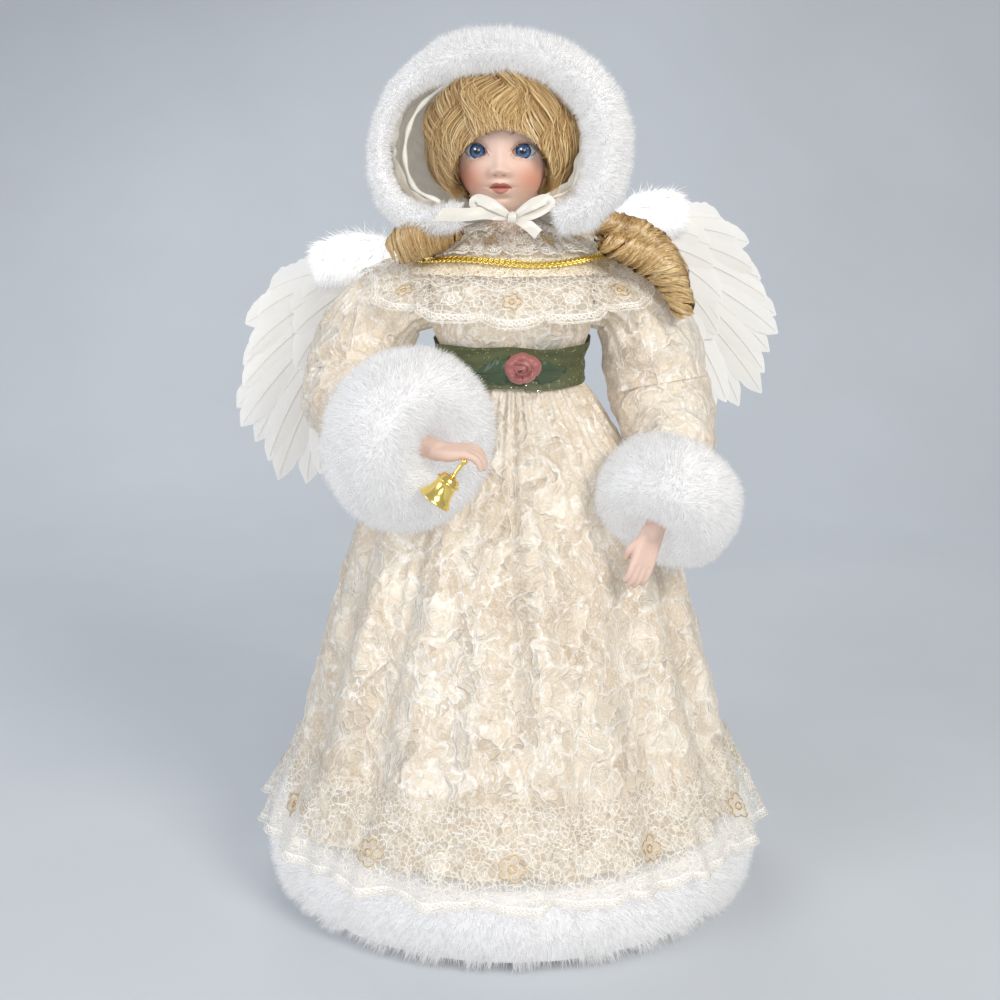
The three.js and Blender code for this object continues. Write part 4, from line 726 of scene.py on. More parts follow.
def make_bodice():
    rows, columns = 60, 200
    under_sash, under_ruffle, gather_depth, ease = 1, 14, 0.9, 0.3
    turn, share = ring_grid(rows, columns)
    angle = turn * TAU
    z = lerp(WAIST_Z + under_sash, NECK_Z - under_ruffle, share)
    points = np.stack([*body_section(angle, z), z], -1).reshape(-1, 3)
    begun = smooth(share * 5 - 0.6)
    gathers = gather_depth * np.cos(angle * 40 + 2 * np.sin(angle * 5)) * (1 - share) * begun
    points = points + outwards(points) * (gathers + ease).reshape(-1, 1)
    points = crushed(points, outwards(points), 0.55 * begun.ravel())
    bodice = make_mesh("bodice_cloth", points, grid_faces(rows, columns, wrap=True), velvet, "doll")
    stand_in(bodice, "bodice")


# Fur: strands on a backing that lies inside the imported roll
FUR_SINK = 4.5
PILE = 8
FUR_STRAND_WIDTH = 0.3
FLOOR_GAP = 0.4


def make_fur(node, body, count, seed, keep=None, swell=0.0, pile_share=None):
    """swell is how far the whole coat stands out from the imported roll's place."""
    surface = node_surface(node)
    points, triangles, normals, _ = surface
    sink = FUR_SINK - swell
    backing = make_mesh(node + "_backing", points - normals * sink, triangles, fur_skin, body)
    stand_in(backing, node)
    roots, outward, rng = scatter(surface, count, seed, keep)
    clump = np.stack([waves(roots, 0.11, seed + k * 17.0) for k in range(3)], 1)
    lean = unit(outward + clump * 0.36 + rng.normal(size=roots.shape) * 0.24 + (0, 0, -0.2))
    reach = PILE * (0.75 + 0.4 * rng.random((count, 1)))
    if pile_share is not None:
        reach = reach * pile_share(roots)[:, None]
    roots = roots - outward * sink
    middles = roots + unit(outward * 1.5 + lean) * reach * 0.5
    tips = middles + lean * reach * 0.5
    tips[:, 2] = np.maximum(tips[:, 2], FLOOR_GAP)
    lit_from = unit(outward + lean * 0.35)
    coat = strands(node + "_pile", roots, middles, tips, FUR_STRAND_WIDTH, fur, body, lit_from)


def hem_fur_seen(p):
    """Hardly any strands where the hem's roll faces the floor or the cone."""
    low_z = 3
    inside = HEM_RADIUS - HEM_FUR_HALF_DEPTH * 0.6
    hidden = (p[:, 2] < low_z) | (np.hypot(p[:, 0], p[:, 1]) < inside)
    return np.where(hidden, 0.02, 1)


def hood_pile(p):
    """Shorter at image left, where the lining shows."""
    far_x, near_x = -52, -26
    return lerp(0.6, 1, smooth((p[:, 0] - far_x) / (near_x - far_x)))


# Sleeves
class Arm:
    def __init__(self, name, side, elbow, cuff, heading, reach):
        """cuff is the cuff's middle, heading the way that it points and reach the way that the hand does."""
        self.name, self.side, self.body = name, side, name + "_arm"
        self.elbow, self.cuff = np.array(elbow, float), np.array(cuff, float)
        self.axis, self.reach = unit(heading), unit(reach)
        self.start = np.array((side * ARMHOLE_REACH, 0, SHOULDER_Z), float)

    def path(self):
        back = self.cuff - self.axis * CUFF_LENGTH * 0.32
        start, bend = self.start, self.elbow
        droop, lift, bulge = 4, 3, 3
        return [
            start,
            (lerp(start[0], bend[0], 0.42), 0, start[2] - droop),
            (lerp(start[0], bend[0], 0.82), 0, lerp(start[2], bend[2], 0.42)),
            bend + (0, lift, lift),
            lerp(bend, back, 0.36) + (self.side * bulge, 0, -bulge),
            lerp(bend, back, 0.74),
            back,
            self.cuff + self.axis * CUFF_LENGTH * 0.12,
        ]


RIGHT_ARM = Arm("right", -1, (-84, -6, 270), (-50, -84, 260), (0.66, -0.74, -0.1), (0.95, -0.25, 0.08))
LEFT_ARM = Arm("left", 1, (79, -4, 266), (79, -60, 224), (-0.42, -0.62, -0.66), (-0.3, -0.3, -0.9))


def carried_frames(path, first):
    """Side and top directions that turn as little as they can along a path."""
    tangent = unit(np.gradient(path, axis=0))
    tangent[0] = first
    side = unit(np.cross(tangent[0], (0, 0, 1)))
    sides = []
    for t in tangent:
        side = unit(side - t * np.dot(side, t))
        sides.append(side)
    sides = np.array(sides)
    return tangent, sides, np.cross(sides, tangent)


def sleeve_points(arm, rows, columns):
    path = curve(arm.path(), rows)
    _, side, top = carried_frames(path, (arm.side, 0, 0))
    share = np.linspace(0, 1, rows)
    radius = table(np.linspace(0, 1, len(SLEEVE_RADII)), SLEEVE_RADII, share)
    turn = np.arange(columns) / columns * TAU
    outward = round_path(side, top, turn)
    return path[:, None] + radius[:, None, None] * outward, outward, share, turn


def make_sleeve(arm):
    rows, columns = 230, 170
    gather_depth, crease_depth, cuff_gather_depth, ease = 1.5, 1.1, 1.0, -0.5
    points, outward, share, turn = sleeve_points(arm, rows, columns)
    s, a = share[:, None], turn[None, :]
    out = gather_depth * np.cos(19 * a + 1.5 * np.sin(3 * a)) * np.exp(-s * 7)
    creases = np.sin(s * 46 + 1.6 * np.sin(2 * a + 5 * s)) * smooth(s * 3)
    out = out + crease_depth * creases * (0.6 + 0.4 * np.cos(a * 2 + 4 * s))
    out = out + cuff_gather_depth * np.cos(15 * a + 2) * smooth((s - 0.72) * 5)
    points = points + outward * (out + ease)[:, :, None]
    loose = np.repeat(smooth(share * 9) * 0.95, columns)
    flat = crushed(points.reshape(-1, 3), outward.reshape(-1, 3), loose)
    sleeve = make_mesh(arm.name + "_sleeve_cloth", flat, grid_faces(rows, columns, wrap=True), velvet)
    stand_in(sleeve, arm.name + "_sleeve")
    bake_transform(sleeve)


# The cloths round the neck
def sleeve_crests(arm):
    """How far out and how high the top of a sleeve runs."""
    points = sleeve_points(arm, 24, 36)[0]
    crest = points[np.arange(len(points)), points[:, :, 2].argmax(1)]
    out = np.maximum.accumulate(np.abs(crest[:, 0]))
    kept = np.concatenate([[True], out[1:] > out[:-1]])
    return out[kept], crest[kept, 2]


CRESTS = {arm.side: sleeve_crests(arm) for arm in (RIGHT_ARM, LEFT_ARM)}


def over_sleeve(x, y):
    """Height of a cloth that lies over a sleeve's head."""
    puff, clear = 1.2, 2.4
    crest = np.where(x < 0, np.interp(np.abs(x), *CRESTS[-1]), np.interp(np.abs(x), *CRESTS[1]))
    radius = max(SLEEVE_RADII) + puff
    dome = crest + clear - radius + np.sqrt(np.maximum(radius**2 - y**2, 0))
    return np.where(np.abs(y) < radius, dome, -np.inf)


CAPE_NECK = 17.4
CAPE_BULGE = 2.2
CAPE_ROUNDNESS = 2.2
RUFFLE_NECK = 15.2
RUFFLE_HEIGHT = 17
RUFFLE_OFF_CAPE = 2.6


def cape_point(turn, share, lift=0.0):
    clear = 1
    angle = turn * TAU
    halves = (lerp(CAPE_NECK, half, share) for half in CAPE_HALF)
    x, y = rounded(angle, *halves, CAPE_ROUNDNESS)
    edge = lerp(SHOULDER_Z, NECK_Z, lerp(0.38, 0.66, smooth(np.sin(angle) * 2 + 1)))
    z = lerp(NECK_Z, edge, share**0.9) + np.sin(share * math.pi) * CAPE_BULGE
    return np.stack(np.broadcast_arrays(x, y, np.maximum(z, over_sleeve(x, y) + clear) + lift), -1)


def bertha_point(turn, share, lift=0.0):
    """The frill hangs from the cape's edge, shortest at the back and over the arms."""
    under_cape, pleat_depth, ripple_depth = 0.8, 2.4, 1.2
    angle = turn * TAU
    side, back = np.abs(np.cos(angle)) ** 1.6, np.maximum(0, np.sin(angle))
    start = cape_point(turn, 0.9, under_cape)
    reach = lerp(1, 0.8, back * (1 - side))
    end_x, end_y = rounded(angle, BERTHA_HALF[0], BERTHA_HALF[1] * reach, CAPE_ROUNDNESS)
    drop = lerp(lerp(BERTHA_DROP * 0.86, BERTHA_DROP * BERTHA_BACK_SHARE, back), BERTHA_DROP / 2, side)
    wave = (np.cos(BERTHA_PLEATS * angle) * pleat_depth + np.cos(31 * angle + 1) * ripple_depth) * share
    grow = 1 + (wave + lift) / np.hypot(end_x, end_y)
    x, y = lerp(start[..., 0], end_x * grow, share), lerp(start[..., 1], end_y * grow, share)
    free = start[..., 2] - drop * share**1.25
    z = np.maximum(free, over_sleeve(x, y)) + lift * lerp(0.9, 0.3, share)
    return np.stack([x, y, z], -1)


def ruffle_point(turn, share, lift=0.0):
    """A stand-up collar of lace that turns over and lies out on the cape."""
    below_chin, pleat_depth = 2, 0.5
    angle = turn * TAU
    top = CHIN_Z - below_chin
    lying = cape_point(turn, (0.74 + 0.06 * np.cos(11 * angle)) * share, RUFFLE_OFF_CAPE + lift)
    x, y = rounded(angle, RUFFLE_NECK + lift, RUFFLE_NECK + lift, CAPE_ROUNDNESS)
    out = smooth(share * 2.2)
    x, y = lerp(x, lying[..., 0], out), lerp(y, lying[..., 1], out)
    turned_over = lying[..., 2] * out + (top - RUFFLE_HEIGHT) * (1 - out)
    z = np.maximum(top - RUFFLE_HEIGHT * share, turned_over)
    pleat = np.cos(34 * angle) * pleat_depth * smooth(share * 3)
    return np.stack(np.broadcast_arrays(x, y, z + pleat + lift * 0.5), -1)


# Lace
def ink(distance, half, soft=0.22):
    """1 within half of a line, 0 beyond."""
    return np.clip((half - np.abs(distance)) / soft + 0.5, 0, 1)


def leaf_ink(x, y, centre, degrees, length, width):
    """A leaf's outline, with a faint filling."""
    a = math.radians(degrees)
    dx, dy = x - centre[0], y - centre[1]
    u, v = dx * math.cos(a) + dy * math.sin(a), dy * math.cos(a) - dx * math.sin(a)
    size = np.sqrt((2 * u / length) ** 2 + (2 * v / width) ** 2)
    rise = (1 - size) * width
    return np.maximum(ink(rise, THREAD_HALF), np.clip(rise * 2, 0, 1) * 0.3)


def petal_edge(angle):
    """How far out a five-petalled blossom reaches, as a share of its radius."""
    return 0.66 + 0.34 * np.abs(np.cos(2.5 * angle))


def blossom_ink(x, y, centre, radius):
    """A blossom's outline and eye, with a faint filling."""
    dx, dy = x - centre[0], y - centre[1]
    r = np.hypot(dx, dy)
    rise = radius * petal_edge(np.arctan2(dy, dx)) - r
    inside = np.clip(rise / THREAD_HALF + 0.5, 0, 1)
    line = np.maximum(ink(rise - THREAD_HALF, 0.35), ink(r - radius * BLOSSOM_EYE_SHARE, THREAD_HALF))
    return np.maximum(line, inside * 0.4)


THREAD_HALF = 0.3
BLOSSOM_RADIUS_SHARE = 6.2 / 48
BLOSSOM_EYE_SHARE = 0.28
BLOSSOM_DOWN_SHARE = 0.58
LEAF_UNIT_SHARE = 1.15 / 48


# Each leaf: where it is across and down the pattern, its slant in degrees, its length and width in leaf units
LEAVES = (
    (-0.36, 0.3, 35, 8, 4), (-0.22, 0.44, -40, 7, 3.6), (0.36, 0.28, -38, 8, 4), (0.22, 0.46, 42, 7, 3.6),
    (-0.42, 0.62, 80, 7, 3.4), (0.42, 0.6, 95, 7, 3.4), (-0.14, 0.16, 20, 6, 3), (0.16, 0.14, -25, 6, 3),
    (-0.28, 0.78, -30, 6, 3.2), (0.28, 0.77, 30, 6, 3.2), (0.5, 0.1, 0, 7, 3), (-0.5, 0.1, 0, 7, 3),
)
LACE_CREAM = np.array((0.95, 0.92, 0.86))
LACE_GOLD = np.array((0.72, 0.55, 0.36))
LACE_WEB = np.array((0.86, 0.79, 0.68))


def edge_ink(along, rise):
    """A twisted cord along the edge, a row of small rings above it and a thread above them."""
    cord_rise, cord_half, cord_twist = 0.7, 0.5, 2.2
    ring_step, ring_rise, ring_radius = 2.4, 3.2, 0.85
    thread_rise, thread_half = 4.9, 0.35
    twist = 0.75 + 0.25 * np.sign(np.sin(along * TAU / cord_twist))
    rings = np.hypot((along % ring_step) - ring_step / 2, rise - ring_rise) - ring_radius
    cord = ink(rise - cord_rise, cord_half) * twist
    return np.maximum.reduce([cord, ink(rings, THREAD_HALF), ink(rise - thread_rise, thread_half)])


class LaceBand:
    """A band of lace, its pattern repeating every period; places are (along, down) in millimetres."""

    def __init__(self, point, length, depth, repeats, scallop):
        self.point, self.length, self.depth = point, length, depth
        self.repeats, self.period, self.scallop = repeats, length / repeats, scallop

    def foot(self, along):
        """How far down the scalloped edge is."""
        x = (along / self.period) % 1 * 2 - 1
        return self.depth - self.scallop * (1 - np.sqrt(np.maximum(1 - x * x, 0)))

    def ink(self, along, down):
        """How solid the lace is, and how much of that is gold thread."""
        period, depth = self.period, self.depth
        vine_half = 0.32
        number = np.floor(along / period)
        x = (along / period) % 1 * period - period / 2
        vine = down - depth * 0.34 - np.sin(along * TAU / period) * depth * 0.07
        made = np.maximum(edge_ink(along, self.foot(along) - down), ink(vine, vine_half))
        size = depth * LEAF_UNIT_SHARE
        for dx, dy, slant, long, wide in LEAVES:
            centre = dx * period, dy * depth
            made = np.maximum(made, leaf_ink(x, down, centre, slant, long * size, wide * size))
        bloom = blossom_ink(x, down, (0, depth * BLOSSOM_DOWN_SHARE), depth * BLOSSOM_RADIUS_SHARE)
        return np.maximum(made, bloom), bloom * (number % 2 == 0)

    def mesh(self, name, rows, columns):
        turn, share = ring_grid(rows, columns)
        along = turn * self.length
        down = share * (self.foot(along) / self.depth)
        solid, golden = self.ink(along, down * self.depth)
        flow = np.stack([along, down * self.depth, solid], -1)
        colour = LACE_WEB + (LACE_CREAM - LACE_WEB) * solid[..., None]
        colour = colour + (LACE_GOLD - LACE_CREAM) * (golden * 0.75)[..., None]
        faces = grid_faces(rows, columns, wrap=True)
        return make_mesh(name, self.point(turn, down, 0.0), faces, lace, "doll", flow, colour)

    def lay(self, along, down, lift):
        """Points on the band at places given in millimetres, lifted off it."""
        step = 0.02
        turn, share = np.asarray(along) / self.length, np.clip(np.asarray(down) / self.depth, 0, 1)
        here = self.point(turn, share, 0.0)
        ahead = self.point(turn + 1e-4, share, 0.0) - here
        low = share * (1 - step)
        below = self.point(turn, low + step, 0.0) - self.point(turn, low, 0.0)
        return here + unit(np.cross(below, ahead)) * lift

    def threads(self, name):
        """The raised cord along the edge and gold outlines of every second blossom."""
        cord_rise, cord_radius, cord_knobs, cord_twist = 0.8, 0.24, 0.1, 2.6
        lift, petal_thread, eye_thread = 0.5, 0.2, 0.25
        along = np.linspace(0, self.length, self.repeats * 26, endpoint=False)
        edge = Bag()
        path = self.lay(along, self.foot(along) - cord_rise, lift * 0.6)
        edge.tube(path, cord_radius + cord_knobs * np.sign(np.sin(along * TAU / cord_twist)), 5, closed=True)
        edge.object(name + "_cord", thread, "doll")
        blooms = Bag()
        turn = np.linspace(0, TAU, 50, endpoint=False)
        radius = self.depth * BLOSSOM_RADIUS_SHARE
        outlines = (radius * petal_edge(turn), petal_thread), (radius * BLOSSOM_EYE_SHARE, eye_thread)
        for i in range(0, self.repeats, 2):
            for out, thickness in outlines:
                x = (i + 0.5) * self.period + out * np.cos(turn)
                y = self.depth * BLOSSOM_DOWN_SHARE + out * np.sin(turn)
                blooms.tube(self.lay(x, y, lift), thickness, 4, closed=True)
        blooms.object(name + "_blossoms", gold_thread, "doll")


def hem_lace_point(turn, share, lift=0.0):
    """The hem's lace hangs free of the gown and lies over the fur."""
    off_gown, off_fur, edge_gap, fur_top = 2.2, 0.5, 1, 2
    wave_depths = (3, 1.4, 1.2)
    angle = turn * TAU
    z = lerp(LACE_TOP_Z, LACE_FOOT_Z, share)
    waved = np.cos(18 * angle + 2), np.cos(47 * angle), np.sin(29 * angle + 1)
    wave = sum(depth * w for depth, w in zip(wave_depths, waved)) * share
    free = lerp(gown_surface(angle, LACE_TOP_Z), LACE_RADIUS - edge_gap, share**0.8) + wave
    rise = np.clip((z - HEM_FUR_HEIGHT / 2) / (HEM_FUR_HEIGHT / 2), -1, 1) * 0.95
    roll = HEM_RADIUS + HEM_FUR_HALF_DEPTH * np.sqrt(1 - rise**2)
    fur_out = np.where(z < HEM_FUR_HEIGHT + fur_top, roll, 0)
    gown = gown_surface(angle, np.maximum(z, SKIRT_FOOT_Z)) + off_gown
    return on_circle(angle, np.maximum(free, np.maximum(gown, fur_out + off_fur)) + lift, z)


HEM_BAND = LaceBand(hem_lace_point, length=TAU * 128, depth=52, repeats=22, scallop=4.5)
BERTHA_BAND = LaceBand(bertha_point, length=380, depth=34, repeats=14, scallop=4.0)
RUFFLE_BAND = LaceBand(ruffle_point, length=200, depth=24, repeats=15, scallop=2.6)


def make_lace():
    for band, name, rows, columns in (
        (HEM_BAND, "hem_lace", 66, 1430),
        (BERTHA_BAND, "bertha_lace", 66, 1100),
        (RUFFLE_BAND, "neck_ruffle", 50, 900),
    ):
        stand_in(band.mesh(name + "_web", rows, columns), name)
        band.threads(name)


def make_cape():
    rows, columns = 60, 260
    off_bodice, wave_depth, crease_height = 0.9, 0.9, 0.5
    turn, share = ring_grid(rows, columns)
    points = cape_point(turn, share, off_bodice).reshape(-1, 3)
    points[:, 2] += waves(points, 0.16, 3) * wave_depth + rumple(points, 0.09, 8) * crease_height
    cape = make_mesh("cape_cloth", points, grid_faces(rows, columns, wrap=True), tulle, "doll")
    stand_in(cape, "cape")


def make_braid():
    """Two rows of small links plaited round the cape's edge."""
    count, off_cape, sway = 112, 4.2, 1.3
    link_length, link_width, wire = 1.9, 0.75, 0.48
    row_gap, link_gap, row_shift, row_lift = 0.85, 0.5, 0.25, 0.2
    bag = Bag()
    turn = np.linspace(0, 1, count, endpoint=False)
    line = cape_point(turn, 0.84, off_cape)
    line[:, 2] += sway * np.cos(turn * TAU * 4 + 2)
    tangent = unit(np.roll(line, -1, 0) - np.roll(line, 1, 0))
    side = unit(cape_point(turn, 0.9, off_cape) - cape_point(turn, 0.78, off_cape))
    top = unit(np.cross(tangent, side))
    top = top * np.sign(top[:, 2:])
    ring = np.linspace(0, TAU, 9, endpoint=False)
    for i in range(count):
        for row in (-1, 1):
            centre = line[i] + side[i] * row * row_gap + tangent[i] * (link_gap + row * row_shift)
            lean = unit(tangent[i] + side[i] * row * 0.75)
            across = unit(np.cross(top[i], lean))
            link = np.outer(np.cos(ring) * link_length, lean) + np.outer(np.sin(ring) * link_width, across)
            bag.tube(centre + link + top[i] * row * row_lift, wire, 5, closed=True, up=tuple(top[i]))
    stand_in(bag.object("gold_braid_links", braid_gold, "doll"), "gold_braid")


# Sash with its rose and leaves
def waist_out(angle, z):
    """How far out the sash lies."""
    above_waist, clear = 1, 2.3
    body = np.hypot(*body_section(angle, np.maximum(z, WAIST_Z + above_waist)))
    gown = np.maximum(gown_radius(angle, z), waist_section(angle))
    return np.where(z > WAIST_Z, body, gown) + clear


def make_sash():
    rows, columns = 30, 360
    half_width, off_waist, sag_depths, crease_depths = 11, 0.4, (0.6, 0.4), (0.385, 0.245)
    turn, share = ring_grid(rows, columns)
    angle = turn * TAU
    z = lerp(WAIST_Z + half_width, WAIST_Z - half_width, share)
    sag = sag_depths[0] * np.sin(3 * angle + 1) + sag_depths[1] * np.sin(7 * angle)
    creases = crease_depths[0] * np.sin(share * 13 + 2 * np.sin(2 * angle) + angle * 3)
    creases = creases + crease_depths[1] * np.sin(share * 24 + 3 * np.sin(3 * angle))
    points = on_circle(angle, waist_out(angle, z) + off_waist + creases, z + sag)
    sash = make_mesh("sash_ribbon", points, grid_faces(rows, columns, wrap=True), sash_cloth, "doll")
    stand_in(sash, "sash")


ROSE_AT = np.array((5.0, -36.5, 287.0))
ROSE_SIZE = 1.12
PETAL_DEGREES = (20, 95, 165, 238, 310)


def rose_points(angle, out, up):
    """Points of the rose, which faces forwards and is a little flattened."""
    return np.stack([out * np.cos(angle), -up, out * np.sin(angle) * 0.9], -1)


def rose_bud(rows, columns):
    """The rolled middle, from its foot (share 0) to its edge (share 1)."""
    turns, start_radius, roll_radius, flare, wobble = 2.2, 0.2, 4.3, 2.2, 0.8
    foot_depth, height, outer_lower, edge_turn_out, ruffle = 0.5, 7.5, 4.0, 3.0, 0.6
    share, t = np.meshgrid(np.linspace(0, 1, rows), np.linspace(0, 1, columns), indexing="ij")
    angle = t * TAU * turns
    out = start_radius + t * roll_radius + share**2 * t * flare + wobble * np.sin(angle * 2.3) * t
    up = lerp(-foot_depth, height - t * outer_lower, share) - edge_turn_out * t * share**4
    up = up + ruffle * np.sin(angle * 3.3) * share
    return rose_points(angle, out, up)


def rose_petal(i, rows, columns):
    """One outer petal; each next one is a little shorter and stands a little higher."""
    root_radius, length, rise, step, tip_fall, ruffle = 2.2, 8.2, 2.4, 0.5, 2.6, 0.6
    root_degrees, tip_degrees = 20, 48
    share, across = patch_grid(rows, columns)
    out = root_radius + (length - step * i) * share * (1 - 0.2 * across**2)
    up = (rise + step * i) * np.sin(share * 2.2) - tip_fall * share**4
    up = up + ruffle * np.cos(across * 5 + i) * share
    angle = np.radians(PETAL_DEGREES[i] + across * lerp(root_degrees, tip_degrees, share))
    return rose_points(angle, out, up)


def make_rose():
    """A ribbon rolled up and turned out into petals, on a round base."""
    base_radius, base_hole, base_depth = 5, 0.02, 4
    bag = Bag()
    bag.put(rose_bud(9, 420) * ROSE_SIZE + ROSE_AT, grid_faces(9, 420))
    for i in range(len(PETAL_DEGREES)):
        bag.put(rose_petal(i, 12, 17) + ROSE_AT, grid_faces(12, 17))
    ring, turn = np.meshgrid(np.linspace(base_hole, base_radius, 6), np.linspace(0, TAU, 24), indexing="ij")
    base = np.stack([ring * np.cos(turn), ring * 0.4 - base_depth, ring * np.sin(turn)], -1)
    bag.put(base + ROSE_AT, grid_faces(*ring.shape))
    stand_in(bag.object("sash_rose_ribbon", rose_cloth, "doll"), "sash_rose")


def make_leaf(name, side):
    """A wired ribbon leaf on the front of the sash."""
    rows, columns = 26, 15
    half_width, length, gap, droop = 7.6, 21, 2.5, 2.5
    off_sash, cup, frill = 4.2, 1.6, 0.7
    rim_wire, vein_wire, vein_lift = 0.35, 0.25, 0.4
    share, across = patch_grid(rows, columns)
    half = half_width * np.sin(math.pi * (0.1 + 0.88 * share)) * (1 - 0.25 * share)
    x = ROSE_AT[0] + side * (gap + length * share)
    z = WAIST_Z - droop * share + across * half
    to_side = np.minimum(np.abs(x) / GOWN_WAIST, 0.98)
    y = -GOWN_WAIST_DEPTH * (1 - to_side**WAIST_ROUNDNESS) ** (1 / WAIST_ROUNDNESS) - off_sash
    y = y - cup * (1 - across**2) * np.sin(math.pi * share)
    y = y + frill * np.cos(share * 22 + across * 5) * across**2
    points = np.stack([x, y, z], -1)
    leaf = make_mesh(name + "_ribbon", points, grid_faces(rows, columns), leaf_cloth, "doll")
    stand_in(leaf, name)
    edge = Bag()
    edge.tube(np.concatenate([points[:, 0], points[::-1, -1]]), rim_wire, 5)
    edge.tube(points[:, columns // 2] - (0, vein_lift, 0), vein_wire, 5)
    edge.object(name + "_wire_edge", leaf_cloth, "doll")


# Head
# [across, up, half width, half height, rise] as shares of the head's half sizes
FACE_FEATURE_SHARES = (
    (0, -0.345, 0.13, 0.085, 0.14),
    (0, -0.2, 0.1, 0.16, 0.05),
    (0.15, -0.375, 0.085, 0.06, 0.07),
    (-0.15, -0.375, 0.085, 0.06, 0.07),
    (0, -0.53, 0.17, 0.05, 0.08),
    (0, -0.655, 0.13, 0.055, 0.085),
    (0, -0.585, 0.19, 0.018, -0.05),
    (0, -0.9, 0.28, 0.13, 0.1),
    (0.44, -0.1, 0.26, 0.15, -0.07),
    (-0.44, -0.1, 0.26, 0.15, -0.07),
    (0.55, -0.5, 0.33, 0.3, 0.07),
    (-0.55, -0.5, 0.33, 0.3, 0.07),
    (0, 0.25, 0.6, 0.25, 0.03),
    (0, -0.45, 0.035, 0.04, -0.018),
    (0, -0.75, 0.16, 0.03, -0.03),
)
EYE_X, EYE_Z = 11.8, -3.3
EYE_HALF = (5.5, 3.4)
EYE_FRONT = -27.9
MOUTH_Z = -21.1
MOUTH_BEND = 0.02
BISQUE = (0.81, 0.58, 0.48)
BLUSH = (0.74, 0.29, 0.18)
LID_SHADE = (0.68, 0.42, 0.33)
LASH_BROWN = (0.12, 0.06, 0.04)
BROW_BROWN = (0.26, 0.13, 0.06)
NOSTRIL_RED = (0.6, 0.16, 0.1)
CORNER_RED = (0.75, 0.25, 0.18)
LIP_RED = (0.5, 0.15, 0.11)
LIP_LINE = (0.35, 0.07, 0.05)


# Soft spots on each side of the face: place across and up, half width and half height
BLUSH_SPOT = ((16, -17), (8.5, 8))
NOSTRIL_SPOT = ((2.1, -15.1), (0.9, 0.6))
CORNER_SPOT = ((EYE_X - 5.4, EYE_Z - 0.3), (0.6, 0.6))


def eye_rise(x, z, side):
    """Distance inside the almond opening of an eye, below zero outside it."""
    across = (x - side * EYE_X) / EYE_HALF[0]
    arch = 1 - np.minimum(np.abs(across) ** 2.5, 1.6)
    upper = EYE_HALF[1] * (arch + 0.12 * across * side * np.maximum(arch, 0))
    lower = -EYE_HALF[1] * 0.78 * arch
    up = z - EYE_Z
    return np.minimum(upper - up, up - lower), up - upper


def face_points(across, up):
    """The head in its own frame: features raised, eyes cut in, lids, creases and the mouth's line marked."""
    cut_run, eye_depth = 0.7, 5
    lid_up, lid_half, lid_height = 0.5, 0.55, 0.45
    crease_up, crease_half, crease_depth = 1.7, 0.4, 0.4
    line_reach, line_half, line_depth = 5.6, 0.35, 0.7
    height, girth = np.sin(up), np.cos(up)
    jaw = np.where(height < 0, 1 - 0.1 * height * height, 1)
    x = HEAD_HALF[0] * np.sin(across) * girth * jaw
    y = -HEAD_HALF[1] * np.cos(across) * girth
    z = HEAD_HALF[2] * height
    front = y < 0
    for fx, fz, wide, tall, rise in FACE_FEATURE_SHARES:
        raised = hump(x / HEAD_HALF[0] - fx, wide) * hump(z / HEAD_HALF[2] - fz, tall)
        y = y - front * rise * HEAD_HALF[1] * raised
    for side in (-1, 1):
        inside, above = eye_rise(x, z, side)
        near = front * (np.abs(x - side * EYE_X) < EYE_HALF[0] * 1.3)
        y = y + near * smooth(inside / cut_run) * np.maximum(EYE_FRONT + eye_depth - y, 0)
        y = y - near * hump(above - lid_up, lid_half) * lid_height
        y = y + near * hump(above - crease_up, crease_half) * crease_depth
    line = hump(z - MOUTH_Z + MOUTH_BEND * x * x, line_half) * (np.abs(x) < line_reach)
    return x, y + front * line * line_depth, z


def place_head(points):
    """From the head's own frame to the doll's."""
    return around_z(points, HEAD_TURN) + HEAD_CENTRE


def blend_paint(colour, tint, amount):
    return colour + (np.array(tint) - colour) * np.clip(amount, 0, 1)[..., None]


def spot(across, up, place, half):
    """A soft round patch, 1 in its middle."""
    return hump(across - place[0], half[0]) * hump(up - place[1], half[1])


def paint_side(colour, x, z, side, front):
    """Blush, lid, lashes, brow, nostril and the eye's inner corner on one side of the face."""
    shade_up, shade_half, lash_half, lash_soft = 1.8, 1.2, 0.32, 0.3
    lash_inside, lower_lid = -0.1, -1.6
    brow_start, brow_run, brow_up, brow_arch, brow_fall, brow_half = 5.5, 13, 3.9, 4.1, 0.6, 0.6
    brow_middle, brow_reach, brow_soft, brow_end_soft = 12, 6.4, 0.5, 1.5
    out = side * x
    inside, above = eye_rise(x, z, side)
    near = front * (np.abs(out - EYE_X) < EYE_HALF[0] * 1.25)
    colour = blend_paint(colour, BLUSH, spot(out, z, *BLUSH_SPOT) * 0.75 * front)
    colour = blend_paint(colour, LID_SHADE, near * hump(above - shade_up, shade_half) * 0.3)
    lash = ink(inside - lash_inside, lash_half, lash_soft) * np.where(above > lower_lid, 1, 0.55)
    colour = blend_paint(colour, LASH_BROWN, near * lash)
    t = np.clip((out - brow_start) / brow_run, 0, 1)
    arc = brow_up + brow_arch * np.sin(math.pi * (0.08 + 0.72 * t)) - brow_fall * t
    brow = ink(z - arc, brow_half * (1 - t / 2), brow_soft)
    brow = brow * ink(out - brow_middle, brow_reach, brow_end_soft) * front
    hairs = 0.75 + 0.25 * np.sin(x * 9 + z * 4)
    colour = blend_paint(colour, BROW_BROWN, brow * hairs)
    colour = blend_paint(colour, NOSTRIL_RED, spot(out, z, *NOSTRIL_SPOT) * front * 0.9)
    return blend_paint(colour, CORNER_RED, spot(out, z, *CORNER_SPOT) * front * 0.7)


